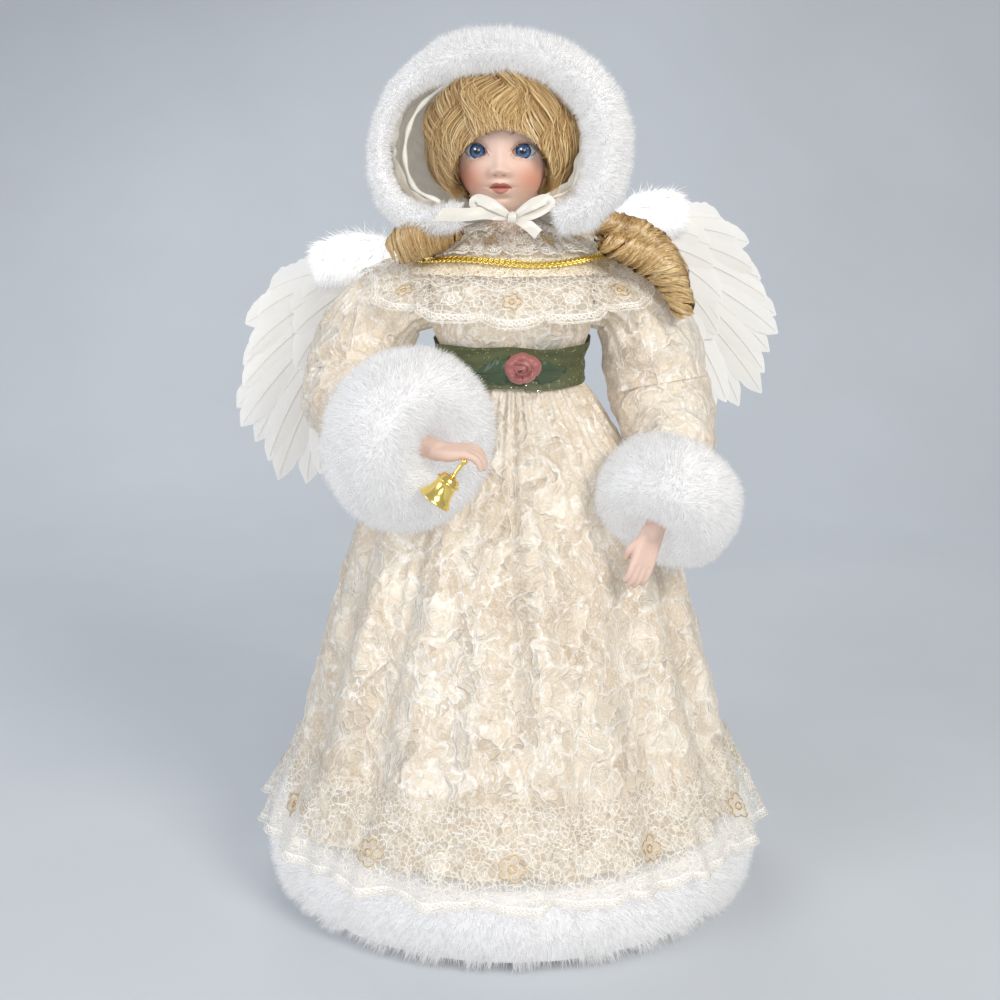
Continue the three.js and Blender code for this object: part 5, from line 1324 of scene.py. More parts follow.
def paint_lips(colour, x, z, front):
    upper_half, upper_height, upper_reach = 5.8, 2.7, 6.3
    dip_half, dip_depth = 1.1, 0.75
    lower_half, lower_height, soft = 4.8, 1.7, 0.5
    line_half, line_reach, line_soft = 0.22, 5.6, 0.3
    middle = MOUTH_Z - MOUTH_BEND * x * x
    edge = np.maximum(1 - (x / upper_half) ** 2, 0)
    bow = upper_height * edge**0.7 - dip_depth * hump(x, dip_half)
    upper = ink(z - middle - bow / 2, np.maximum(bow / 2, 0), soft) * (np.abs(x) < upper_reach)
    full = lower_height * np.maximum(1 - (x / lower_half) ** 2, 0)
    lower = ink(z - middle + full, full, soft) * (np.abs(x) < lower_half)
    colour = blend_paint(colour, LIP_RED, np.maximum(upper, lower) * front * 0.85)
    line = ink(z - middle, line_half, line_soft) * (np.abs(x) < line_reach)
    return blend_paint(colour, LIP_LINE, line * front)


def face_paint(x, y, z):
    """Bisque colours: blush, lips, brows and lash lines."""
    colour = np.broadcast_to(np.array(BISQUE), (*x.shape, 3)).copy()
    front = y < 0
    for side in (-1, 1):
        colour = paint_side(colour, x, z, side, front)
    return paint_lips(colour, x, z, front)


def bisque(name):
    return plain(name, BISQUE, 0.55, 900, 0.02)


def make_head():
    columns, rows = 330, 285
    turn = np.arange(columns) / columns * TAU
    across = turn - 0.55 * np.sin(turn)
    level = np.interp(np.linspace(0, 1, rows), (0, 0.1, 0.75, 1), (-math.pi / 2, -1.2, 0.4, math.pi / 2))
    across, up = np.meshgrid(across, level)
    x, y, z = face_points(across, up)
    points = place_head(np.stack([x, y, z], -1))
    faces = grid_faces(rows, columns, wrap=True)
    head = make_mesh("doll_head", points, faces, porcelain, "doll", colour=face_paint(x, y, z))
    stand_in(head, "head")
    stations, foot_radius, top_radius = 12, 13.8, 12
    foot_up, top_back, top_down = 0.5, 2, 24
    foot, top = np.array((0, 0, NECK_Z + foot_up)), HEAD_CENTRE + (0, top_back, -top_down)
    neck = Bag()
    path = lerp(foot, top, np.linspace(0, 1, stations)[:, None])
    neck.tube(path, np.linspace(foot_radius, top_radius, stations), 48, up=(0, 1, 0))
    neck.object("doll_neck", bisque("bisque neck"), "doll")


EYE_WHITE = (0.72, 0.74, 0.77)
IRIS_BLUE = (0.02, 0.075, 0.24)
IRIS_LIGHT = (0.13, 0.3, 0.56)
IRIS_RIM = (0.01, 0.02, 0.08)
PUPIL_BLACK = (0.0, 0.0, 0.01)
# Painted reflection of the room's light, brighter than white
EYE_LIGHT = (1.6, 1.6, 1.7)


def eye_paint(look, radius, turn, out):
    """Colours of an eye by how far out from its middle each point is."""
    iris, soft, pupil, edge_soft = 3.9, 0.4, 1.75, 0.3
    streak_out, streak_half, streak_soft = 2.4, 0.9, 0.8
    rim_out, rim_half = 3.8, 0.4
    light_right, light_up, light_radius = 1.0, 1.1, 0.5
    streak = 0.5 + 0.5 * np.sin(turn * 23 + 3 * np.sin(turn * 7))
    streak = streak * ink(out - streak_out, streak_half, streak_soft)
    # Painted reflection: a small bright spot up and to one side of the middle
    light = np.hypot(look[..., 0] * radius + light_right, look[..., 2] * radius - light_up)
    colour = np.broadcast_to(np.array(EYE_WHITE), (*out.shape, 3)).copy()
    iris_share = ink(out, iris, soft)
    colour = blend_paint(colour, IRIS_BLUE, iris_share)
    colour = blend_paint(colour, IRIS_LIGHT, iris_share * streak * 0.55)
    colour = blend_paint(colour, IRIS_RIM, ink(out - rim_out, rim_half, soft))
    colour = blend_paint(colour, PUPIL_BLACK, ink(out, pupil, edge_soft))
    return blend_paint(colour, EYE_LIGHT, ink(light, light_radius, edge_soft))


def make_eye(name, side):
    """Glass eye: a blue iris with a dark rim, and a painted reflection of the room's light in it."""
    rows, columns = 70, 90
    radius, closer, sunk = 7.2, 0.3, 0.5
    centre = np.array((side * (EYE_X - closer), EYE_FRONT + radius + sunk, EYE_Z))
    half_opening = 1.5
    shares = np.linspace(0, half_opening, rows) ** 1.2
    ring, turn = np.meshgrid(shares, np.arange(columns) / columns * TAU, indexing="ij")
    look = np.stack([np.sin(ring) * np.cos(turn), -np.cos(ring), np.sin(ring) * np.sin(turn)], -1)
    faces = grid_faces(rows, columns, wrap=True)[:, ::-1]
    points = place_head(centre + look * radius)
    paint = eye_paint(look, radius, turn, ring * radius)
    ball = make_mesh(name + "_glass", points, faces, eye_glass, "doll", colour=paint)
    stand_in(ball, name)
    lashes(name, side)


def lashes(name, side):
    """Fine painted hairs along both lids, longer on the upper one."""
    count, width, proud, lid_gap = 60, 0.3, 0.9, 0.1
    outer_bend, brow_bend = 2.6, 1.0
    upper_length, lower_length = 2.3, 1.5
    sweep_side, sweep_front, sweep_up, sweep_down = 1.3, 1.6, 1.1, 0.9
    rng = np.random.default_rng(5)
    t = np.linspace(-0.95, 0.95, count)
    arch = 1 - np.abs(t) ** 2.5
    upper = np.arange(count) % 2 == 0
    z = EYE_Z + np.where(upper, EYE_HALF[1] * arch + lid_gap, -EYE_HALF[1] * 0.78 * arch - lid_gap)
    x = side * EYE_X + t * EYE_HALF[0]
    roots = np.stack([x, EYE_FRONT - proud + outer_bend * side * t + brow_bend * t**2, z], -1)
    sweep = [t * sweep_side, np.full(count, -sweep_front), np.where(upper, sweep_up, -sweep_down)]
    sweep = np.stack(sweep, -1)
    reach = np.where(upper, upper_length, lower_length)[:, None] * (0.8 + 0.3 * rng.random((count, 1)))
    middles = roots + unit(sweep) * reach * 0.5
    tips = middles + unit(sweep + (0, 0, 0.4)) * reach * 0.5
    placed = (place_head(p) for p in (roots, middles, tips))
    outward = np.tile((0, -1.0, 0), (count, 1))
    strands(name + "_lashes", *placed, width, lash_paint, "doll", outward)


# Hair
def ribbons(name, paths, widths, outward):
    """Hair as flat tapering strips: paths is (strand, station, 3), outward the way that each strip faces."""
    count, stations = paths.shape[:2]
    tangent = unit(np.gradient(paths, axis=1))
    side = unit(np.cross(tangent, outward))
    taper = np.sin(np.linspace(0.25, 1, stations) * math.pi * 0.97)[None, :, None] ** 0.5
    half = widths.reshape(-1, 1, 1) / 2 * taper
    points = np.stack([paths - side * half, paths + side * half], 2)
    base = (np.arange(count) * stations * 2)[:, None, None]
    i = np.arange(stations - 1)[None, :, None] * 2
    faces = (base + i + np.array([0, 1, 3, 2])).reshape(-1, 4)
    flow = np.zeros((count, stations, 2, 3))
    flow[..., 0] = np.linspace(0, 1, stations)[None, :, None]
    flow[..., 1] = np.random.default_rng(3).random(count)[:, None, None]
    make_mesh(name, points, faces, hair, "doll", flow)


WIG_CENTRE = np.array((-4.0, -5.0, 402.0))
WIG_HALF = np.array((40.0, 39.0, 34.9))
WIG_TILT = -16
HAIR_SPREAD = 0.3
# The wig's opening for the face, in the head's own frame: its middle and its half sizes
FACE_WINDOW = (np.array((0, -38.75, -22.3)), np.array((27.1, 34.1, 32.4)))


def in_window(points):
    """How far inside the wig's opening for the face: under 1 is inside."""
    aside = 1.6
    local = around_z(points - HEAD_CENTRE, -HEAD_TURN) - (aside, 0, 0)
    return np.linalg.norm((local - FACE_WINDOW[0]) / FACE_WINDOW[1], axis=-1)


def between(values, rows, low, high, mix):
    """Values part of the way from the low station to the high one, for every strand."""
    return values[rows, low] * (1 - mix) + values[rows, high] * mix


def combed(heading, polar, phase, rng):
    """The ways out from the wig's middle along strands that start at a heading and sway as they fall."""
    front = np.maximum(0, -np.sin(heading))[:, None]
    sway = 0.13 * np.sin(phase) * np.minimum(polar, 1)
    sway = sway + 0.03 * rng.normal(size=(len(heading), 1)) * polar
    turn = heading[:, None] + sway / np.maximum(np.sin(np.minimum(polar, math.pi - 0.4)), 0.35)
    parted = np.tanh((np.cos(heading) - 0.12) * 2.5)[:, None]
    turn = turn + 0.18 * front * smooth(polar / 1.5) * parted
    x, y, z = np.sin(polar) * np.cos(turn), np.sin(polar) * np.sin(turn), np.cos(polar)
    tilt = math.radians(WIG_TILT)
    return np.stack([x, y * math.cos(tilt) - z * math.sin(tilt), y * math.sin(tilt) + z * math.cos(tilt)], -1)


def wig_strands(count, seed, lift):
    """Wavy hair combed from the crown down to the fringe, the sides and the nape."""
    rng = np.random.default_rng(seed)
    stations, fewest = 15, 4
    fringe_out, fringe_drop = 2.5, (0, -0.5, -3.0)
    t = np.linspace(0, 1, stations)[None, :]
    heading = rng.random(count) * TAU
    begin = rng.random((count, 1)) ** 1.2 * 1.95
    front = np.maximum(0, -np.sin(heading))[:, None]
    far = np.minimum(begin + 0.5 + 0.6 * rng.random((count, 1)), lerp(2.6, 1.75, front**4))
    polar = begin + (far - begin) * t
    lock = np.array([noise.noise((math.cos(h) * 1.6, math.sin(h) * 1.6, 4.0)) for h in heading])[:, None]
    phase = polar * 6 + lock * 9 + rng.normal(size=(count, 1)) * 0.5
    direction = combed(heading, polar, phase, rng)
    puff = 1 + lift + 0.035 * np.cos(phase + 1) + 0.018 * rng.normal(size=(count, 1))
    points = WIG_CENTRE + direction * WIG_HALF * puff[..., None]
    keep = in_window(points) > 1
    last = np.where(keep.all(1), stations - 1, np.argmin(keep, 1) - 1)
    good = last >= fewest
    points, last, direction = points[good], last[good], direction[good]
    at = t * last[:, None]
    low = np.floor(at).astype(int)
    high = np.minimum(low + 1, stations - 1)
    place = np.arange(len(points))[:, None], low, high, (at - low)[..., None]
    points, direction = between(points, *place), unit(between(direction, *place))
    fringe = (last < stations - 1)[:, None] & (direction[:, -1, 1] < -0.2)[:, None]
    curl = smooth((t - 0.6) * 2.5) * fringe * (0.4 + rng.random((len(points), 1)))
    return points + (direction * fringe_out + np.array(fringe_drop)) * curl[..., None], direction


def make_wig():
    under_skin, thin = 1.2, 0.26
    points, triangles, normals, _ = node_surface("wig")
    # The wig's cap in dark hair colour: painted shade showing between the strands
    cap = make_mesh("wig_cap", points - normals * under_skin, triangles, shaded_hair_underlayer, "doll")
    stand_in(cap, "wig")
    for i, lift in enumerate((-0.03, -0.01, 0.01, 0.03)):
        paths, outward = wig_strands(7000, 11 + i, lift)
        widths = thin + HAIR_SPREAD * np.random.default_rng(i).random(len(paths))
        ribbons(f"wig_hair_{i}", paths, widths, outward)




def ringlet(path, radius, turns, count, seed, stray):
    """Strands wound in a helix round a path; stray is how much each lock winds in its own way."""
    rng = np.random.default_rng(seed)
    stations, locks, fine = 22, 46, 160
    dense = curve(path, fine)
    _, side, top = carried_frames(dense, unit(dense[1] - dense[0]))
    lock = rng.integers(0, locks, count)
    begin, offset, pitch, girth = (
        values[lock][:, None] for values in (rng.random(locks), *rng.normal(size=(3, locks)))
    )
    begin = begin * 0.66 - 0.14 + 0.03 * rng.normal(size=(count, 1))
    span = 0.4 + 0.3 * rng.random((count, 1))
    s = np.clip(begin + span * np.linspace(0, 1, stations)[None, :], 0, 1)
    angle = s * turns * TAU * (1 + 0.07 * pitch * stray) + offset * 1.6 + 0.16 * rng.normal(size=(count, 1))
    angle += 0.28 * stray * np.sin(s * 34 + lock[:, None])
    taper = np.sin(math.pi * (0.14 + 0.74 * s)) ** 0.55
    wander = 0.07 * girth + 0.08 * np.sin(s * 40 + lock[:, None])
    out = radius * taper * (0.92 + stray * wander + 0.04 * rng.normal(size=(count, 1)))
    at = s * (fine - 1)
    low = np.clip(np.floor(at).astype(int), 0, fine - 2)
    mix = (at - low)[..., None]
    centre, side, top = (lerp(values[low], values[low + 1], mix) for values in (dense, side, top))
    outward = unit(np.cos(angle)[..., None] * side + np.sin(angle)[..., None] * top)
    return centre + outward * out[..., None], outward


CURLS_FROM = np.array((0, -30.7, 354.1))
RIGHT_CURL = CURLS_FROM + ((-27, 0, 7), (-45, 3, 1), (-61, 6, -9))
LEFT_CURL = CURLS_FROM + ((44, 2, 3), (67, 7, -5), (81, 8, -18), (88, 9, -36))


def make_curl(name, core_depth, stray, groups):
    """Each of groups is one ringlet: path, radius, turns, number of strands and seed."""
    thin = 0.25
    points, triangles, normals, _ = node_surface(name)
    # The curl's core in dark hair colour: painted shade showing between the strands
    core = make_mesh(name + "_core", points - normals * core_depth, triangles, shaded_hair_underlayer, "doll")
    stand_in(core, name)
    for path, radius, turns, count, seed in groups:
        paths, outward = ringlet(path, radius, turns, count, seed, stray)
        widths = thin + HAIR_SPREAD * np.random.default_rng(seed).random(len(paths))
        ribbons(f"{name}_hair_{seed}", paths, widths, outward)


def make_curls():
    make_curl("right_curl", 3, 0.35, ((RIGHT_CURL, 11.5, 2.3, 5200, 1),))
    make_curl("left_curl", 6, 1.0, (
        (LEFT_CURL + (-2, -3, 4.5), 8.5, 2.2, 4300, 2),
        (LEFT_CURL + (1, -5, -5), 8.5, 2.6, 4300, 3),
        (LEFT_CURL + (0, 5, 0), 9, 1.8, 3000, 4),
    ))


# Hood
FUR_ROLL_SHARES = np.array((
    (-0.3, -0.84, -0.62), (-0.6, -0.68, -0.7), (-0.9, -0.48, -0.5), (-1, -0.32, -0.02), (-0.84, -0.24, 0.5),
    (-0.42, -0.26, 0.84), (0.14, -0.34, 0.9), (0.6, -0.46, 0.75), (0.92, -0.6, 0.36), (0.96, -0.72, -0.1),
    (0.84, -0.84, -0.54), (0.54, -0.92, -0.66),
))
HOOD_CLOSING_SHARES = np.array(((0.2, -0.7, -0.9), (0.0, -0.65, -0.95)))
HOOD_FOOT_Z = 357.5
THROAT_Y = 5


def hood_points(inset, rows, columns, gathers):
    """From the fur roll back to the middle of the hood's back."""
    ring = unit(curve(np.vstack([FUR_ROLL_SHARES, HOOD_CLOSING_SHARES, FUR_ROLL_SHARES[:1]]), columns))
    back = np.array((0.0, 1.0, 0.0))
    share = np.linspace(0, 1, rows)[:, None]
    turn = np.linspace(0, TAU, columns)[None, :]
    angle = np.arccos(np.clip(ring @ back, -1, 1))[None, :]
    ahead, behind = np.sin((1 - share) * angle) / np.sin(angle), np.sin(share * angle) / np.sin(angle)
    direction = ahead[..., None] * ring[None] + behind[..., None] * back
    narrow = np.cos(turn * 17 + 2 * np.sin(turn * 30 / TAU)) * smooth(share * 1.6 - 0.3)
    fold = gathers * (narrow + 0.5 * np.cos(turn * 7 + share * 5))
    points = HOOD_CENTRE + direction * (HOOD_HALF - inset + fold[..., None])
    points[..., 2] = np.maximum(points[..., 2], HOOD_FOOT_Z + 0.02 * (points[..., 2] - HOOD_FOOT_Z))
    return points.reshape(-1, 3), direction.reshape(-1, 3)


def open_foot(points, faces, low):
    """Leaves out the faces below the foot and those across the throat, between the fur roll's two ends."""
    middle = points[faces].mean(1)
    share = (middle - HOOD_CENTRE) / HOOD_HALF
    lean = share[:, 0] / np.maximum(-share[:, 2], 1e-6)
    first, last = (p[0] / -p[2] for p in (FUR_ROLL_SHARES[0], FUR_ROLL_SHARES[-1]))
    throat = (share[:, 2] < 0) & (lean > first) & (lean < last) & (middle[:, 1] < THROAT_Y)
    return faces[(points[faces][:, :, 2].max(1) > low) & ~throat]


def make_hood():
    rows, columns = 150, 330
    shell_inset, shell_gathers, shell_trim = 1.0, 0.9, 0.6
    lining_inset, lining_gathers, lining_trim = 5.0, 0.7, 0.8
    wide_wrinkle, narrow_wrinkle = 3.6, 1.8
    points, direction = hood_points(shell_inset, rows, columns, shell_gathers)
    points = crushed(points, direction, 0.6)
    faces = open_foot(points, grid_faces(rows, columns), HOOD_FOOT_Z + shell_trim)
    stand_in(make_mesh("hood_velvet", points, faces, velvet, "doll"), "hood_shell")
    points, direction = hood_points(lining_inset, rows, columns, lining_gathers)
    wrinkles = waves(points, 0.06, 4) * wide_wrinkle + waves(points, 0.15, 9) * narrow_wrinkle
    points = points - direction * np.abs(wrinkles)[:, None]
    faces = open_foot(points, grid_faces(rows, columns), HOOD_FOOT_Z + lining_trim)
    stand_in(make_mesh("hood_satin", points, faces, satin, "doll"), "hood_lining")
    stations, roll_inset, roll_back, roll_radius, roll_pucker = 160, 13, 4, 1.15, 0.35
    seam = Bag()
    line = curve(HOOD_CENTRE + FUR_ROLL_SHARES[1:] * (HOOD_HALF - roll_inset) + (0, roll_back, 0), stations)
    seam.tube(line, roll_radius + roll_pucker * np.sin(np.arange(stations) * 0.55), 10, up=(0, 1, 0))
    seam.object("hood_satin_roll", satin, "doll")


# Bow
def strip(path, widths, facing, columns, cup):
    """A ribbon along a path, bowed by cup across its width; facing is the way that its face looks."""
    tangent = unit(np.gradient(path, axis=0))
    across = unit(np.cross(tangent, facing))
    out = np.cross(across, tangent)
    share = np.linspace(-1, 1, columns)[None, :, None]
    aside = across[:, None] * share * widths[:, None, None] / 2
    return path[:, None] + aside + out[:, None] * (cup * (1 - share**2))


KNOT = np.array((0, -46.8, 364.6))


# Widths of the bow's ribbons along them, and their stations from the knot: [across, back, up] (left loop)
LOOP_WIDTHS = ((0, 0.3, 0.5, 0.8, 1), (2.6, 6.0, 5.4, 6.0, 2.6))
TAIL_WIDTHS = ((0, 0.25, 1), (2.8, 6.2, 6.6))
SHORT_TAIL_WIDTHS = ((0, 0.4, 1), (2.6, 5.4, 6.0))
LOOP_CUP, TAIL_CUP = 0.5, 0.4
LOOP_PATH = ((0, 0, 0), (8, -2.4, 5.5), (16, -1.5, 9), (18.5, -0.2, 6.8), (11, -0.6, 2.4), (0, 0, 0))
TAIL_PATH = ((0, 0, 0), (-12, -1.8, 2.4), (-25, -2.2, 1.6), (-39, -1.2, 1.8))
SHORT_TAIL_PATH = ((0, 0, 0), (7, -1.6, -3), (13, -1.0, -8))


def knot_wrap(columns):
    """A short band of ribbon round the knot."""
    rows, width, flare = 40, 4, 0.12
    half_depth, half_height, thrown_forward, wobble, crown = 2.2, 2.6, 0.8, 0.2, 0.3
    t = np.linspace(0, TAU, rows, endpoint=False)
    x, y, z = wobble * np.sin(t), np.cos(t) * half_depth - thrown_forward, np.sin(t) * half_height
    ring = KNOT + np.stack([x, y, z], -1)
    steps = np.linspace(-width / 2, width / 2, columns)
    wrap = np.stack([ring + (x, 0, crown * math.cos(x)) for x in steps], 1)
    wrap += (wrap - KNOT) * flare * np.cos(np.linspace(-1.5, 1.5, columns))[None, :, None]
    last, j = (rows - 1) * columns, np.arange(columns - 1)
    closing = np.stack([last + j, last + j + 1, j + 1, j], -1)
    return wrap, np.vstack([grid_faces(rows, columns), closing])


def make_bow():
    """Two loops, a long tail to the doll's right, a short tail and the knot."""
    columns = 9
    bag = Bag()
    for side in (-1, 1):
        loop = curve(KNOT + np.array(LOOP_PATH) * (side, 1, 1), 50)
        widths = table(*LOOP_WIDTHS, np.linspace(0, 1, len(loop)))
        bag.put(strip(loop, widths, (0.0, -1.0, 0.35), columns, LOOP_CUP), grid_faces(len(loop), columns))
    tail = curve(KNOT + TAIL_PATH, 60)
    widths = table(*TAIL_WIDTHS, np.linspace(0, 1, len(tail)))
    points = strip(tail, widths, (0.0, -1.0, 0.1), columns, TAIL_CUP)
    flutter, cut_rows, cut_slant = 0.5, 8, 5
    points[..., 1] += flutter * np.sin(np.linspace(0, 9, len(tail)))[:, None]
    points[-cut_rows:, :, 0] += np.outer(np.linspace(0, 1, cut_rows), np.linspace(0, 1, columns) * cut_slant)
    bag.put(points, grid_faces(len(tail), columns))
    short = curve(KNOT + SHORT_TAIL_PATH, 30)
    widths = table(*SHORT_TAIL_WIDTHS, np.linspace(0, 1, len(short)))
    bag.put(strip(short, widths, (0.0, -1.0, 0.3), columns, TAIL_CUP), grid_faces(len(short), columns))
    bag.put(*knot_wrap(7))
    stand_in(bag.object("neck_bow_ribbon", satin_ribbon, "doll"), "neck_bow")


# Hands and bell
def capsule(bag, path, radii, sides=14):
    """A closed round roll along a path."""
    stations, dome_rows = 14, 6
    path = curve(path, stations)
    radii = np.interp(np.linspace(0, 1, stations), np.linspace(0, 1, len(radii)), radii)
    dome = np.linspace(math.pi / 2 * 0.96, 0, dome_rows)[:-1]
    first, last = unit(path[0] - path[1]), unit(path[-1] - path[-2])
    start = path[0] + np.outer(np.sin(dome), first * radii[0])
    end = path[-1] + np.outer(np.sin(dome[::-1]), last * radii[-1])
    wide = np.concatenate([radii[0] * np.cos(dome), radii, radii[-1] * np.cos(dome[::-1])])
    whole = np.vstack([start, path, end])
    first_new = bag.count
    bag.tube(whole, wide, sides, up=(0.31, 0.2, 0.93))
    for row in (0, len(whole) - 1):
        tip = bag.count
        bag.put(whole[row], np.zeros((0, 4), int))
        ring = first_new + row * sides + np.arange(sides)
        bag.faces.append(np.stack([ring, np.roll(ring, -1), np.full(sides, tip), np.full(sides, tip)], -1))


FINGER_SHARES = (0.88, 1, 0.97, 0.8)
FINGER_LENGTH = 14
FINGER_RADII = (2.1, 2.0, 1.75, 1.45)
PALM_LENGTH = 14
FINGERS_HALF_SPREAD = 5
FINGER_ROOT_SUNK = 1.5
# Rolls of a hand, by places from the wrist: [along the hand, towards the thumb, towards what it holds]
PALM_ROLL = ((0, 3.0, 0), (6, 4.2, 0.4), (PALM_LENGTH, 4.6, 0))
THUMB_BALL = ((1, 3, 0), (6, 5.4, 1.5))
THUMB_ROOT = (5, 5.6, 1.6)
THUMB_JOINT = 5
FOREARM_RADII, PALM_RADII = (6.3, 6.2, 5.2), (3.4, 3.1, 2.2)
THUMB_BALL_RADII, THUMB_RADII = (3.2, 2.6), (2.5, 2.1, 1.6)


def make_finger(bag, root, length, reach, inward, curl):
    """A finger of three lengths; curl is how far it closes, from 0 to 1."""
    bent = unit(lerp(reach, inward, curl * 0.75))
    more = unit(lerp(bent, inward, curl * 0.9 + 0.12))
    knuckle = root + unit(lerp(reach, inward, curl * 0.3)) * length * 0.42
    joint = knuckle + bent * length * 0.33
    capsule(bag, [root, knuckle, joint, joint + more * length * 0.25], FINGER_RADII)


def remeshed(source, name, voxel, rounds):
    """One smooth skin over overlapping rolls."""
    skin = source.modifiers.new("skin", "REMESH")
    skin.mode, skin.voxel_size = "VOXEL", voxel * MM
    even = source.modifiers.new("even", "SMOOTH")
    even.factor, even.iterations = 0.5, rounds
    bpy.context.view_layer.update()
    mesh = bpy.data.meshes.new_from_object(source.evaluated_get(bpy.context.evaluated_depsgraph_get()))
    material = source.data.materials[0]
    bpy.data.objects.remove(source)
    mesh.name = name
    mesh.materials.clear()
    mesh.materials.append(material)
    mesh.polygons.foreach_set("use_smooth", np.ones(len(mesh.polygons), bool))
    made = bpy.data.objects.new(name, mesh)
    bpy.context.scene.collection.objects.link(made)
    return made


def make_hand(arm, palm_way, thumb_way, curl):
    """A forearm, palm, fingers and thumb of overlapping rolls under one skin."""
    axis, reach = arm.axis, arm.reach
    start = arm.cuff - axis * CUFF_LENGTH * 0.3
    wrist = start + axis * CUFF_LENGTH * 0.86
    across = unit(np.cross(reach, palm_way))
    inward = unit(np.cross(across, reach))
    if inward @ np.array(palm_way) < 0:
        inward = -inward
    thumb_side = across * thumb_way

    def at(along, aside, inside=0):
        return wrist + reach * along + thumb_side * aside + inward * inside

    forearm_short, palm_sunk = 2, 3
    bag = Bag()
    capsule(bag, [start, lerp(start, wrist, 0.5), wrist - axis * forearm_short], FOREARM_RADII)
    for off in np.linspace(-1, 1, 5) * thumb_way:
        first, middle, last = (at(along, aside * off, inside) for along, aside, inside in PALM_ROLL)
        capsule(bag, [first - axis * palm_sunk, middle, last], PALM_RADII)
    capsule(bag, [at(*place) for place in THUMB_BALL], THUMB_BALL_RADII)
    for i, size in enumerate(FINGER_SHARES):
        off = lerp(-FINGERS_HALF_SPREAD, FINGERS_HALF_SPREAD, i / 3) * thumb_way
        root = at(PALM_LENGTH - FINGER_ROOT_SUNK, off)
        make_finger(bag, root, FINGER_LENGTH * size, reach, inward, curl)
    root = at(*THUMB_ROOT)
    heading = unit(reach + inward * 0.6 + thumb_side * 0.35)
    joint = root + heading * THUMB_JOINT
    capsule(bag, [root, joint, joint + unit(heading - thumb_side * 0.5) * THUMB_JOINT], THUMB_RADII)
    source = bag.object(arm.name + "_hand_rolls", bisque("bisque hand"))
    hand = remeshed(source, arm.name + "_hand_bisque", 0.55, 5)
    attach(hand, arm.body)
    stand_in(hand, arm.name + "_hand")


def place_bell(points):
    """From the bell's own frame, with its crown at nought, to where the hand holds it."""
    return around_y(points, BELL_TILT) + BELL_CROWN


# Profiles of (out, up) from the bell's crown; the shell's runs down outside and back up inside
BELL_PROFILE = (
    (0.05, 0), (2.6, -0.1), (4.1, -0.5), (4.9, -1.4), (5.2, -2.6), (5.9, -2.9), (6.35, -3.3), (5.9, -3.7),
    (5.3, -4.1), (5.35, -5.5), (5.6, -7.5), (6.1, -9.5), (6.9, -11.4), (7.9, -12.9), (8.6, -13.6),
    (8.75, -14.0), (8.5, -14.3), (8.0, -14.0), (7.2, -13.0), (6.2, -11.4), (5.3, -9.5), (4.8, -7.5),
    (4.5, -5.5), (4.4, -3.2), (3.4, -1.6), (0.05, -1.4),
)
HANDLE_PROFILE = (
    (0.05, 0.2), (1.9, 0.1), (1.5, 0.7), (1.0, 1.2), (0.95, 3.5), (1.15, 5.0), (0.95, 6.5), (1.0, 7.9),
    (1.6, 8.6), (1.75, 9.3), (1.3, 10.2), (0.05, 10.5),
)
CLAPPER_PROFILE = (
    (0.05, 1), (0.45, 0.8), (0.45, -5.6), (1.0, -6.0), (1.7, -6.8), (1.9, -7.6), (1.7, -8.4), (1.0, -9.2),
    (0.05, -9.5),
)
CLAPPER_REST_DEGREES = 22.06
CLAPPER_DROP = 2.53


def lathe(profile, sides):
    """Points and faces of a profile turned round the upright."""
    turn = np.arange(sides) / sides * TAU
    points = np.stack([on_circle(turn, out, up) for out, up in profile])
    return points.reshape(-1, 3), grid_faces(len(profile), sides, wrap=True)


def make_bell():
    """The shell with its handle, and the clapper hanging from inside the crown."""
    bag = Bag()
    for profile, sides in ((BELL_PROFILE, 72), (HANDLE_PROFILE, 32)):
        points, faces = lathe(profile, sides)
        bag.put(place_bell(points), faces)
    stand_in(bag.object("bell_brass", gold, "right_arm"), "bell")
    points, faces = lathe(CLAPPER_PROFILE, 24)
    points = place_bell(around_y(points, -CLAPPER_REST_DEGREES) + (0, 0, -CLAPPER_DROP))
    stand_in(make_mesh("bell_clapper_brass", points, faces, gold, "clapper"), "bell_clapper")


# Wings. In a wing's own frame u runs outwards from its hinge pin and w up.
PRIMARY_DEGREES = (-8, -20, -30, -39, -47, -55, -62, -68, -76)
PRIMARY_SHARES = (0.45, 0.59, 0.71, 0.83, 0.93, 1, 0.95, 0.86, 0.72)
BLADE_AT_SHARES = (0, 0.06, 0.25, 0.6, 0.85, 0.95, 1)
BLADE_WIDTH_SHARES = (0.1, 0.3, 0.75, 1, 0.86, 0.55, 0.06)
LONG_FEATHER = 130
PRIMARY_WIDTH, COVERT_WIDTH = 19, 20
PRIMARY_DEPTH, COVERT_DEPTH = -1.5, -4.5
FEATHERS_REACH, FEATHERS_UP = 58, 17
FEATHERS_ROUND = (10, 13)
# Half sizes of the oval that the down stays short in when a wing swings over the lace frill
BERTHA_CLEAR = (92, 66)


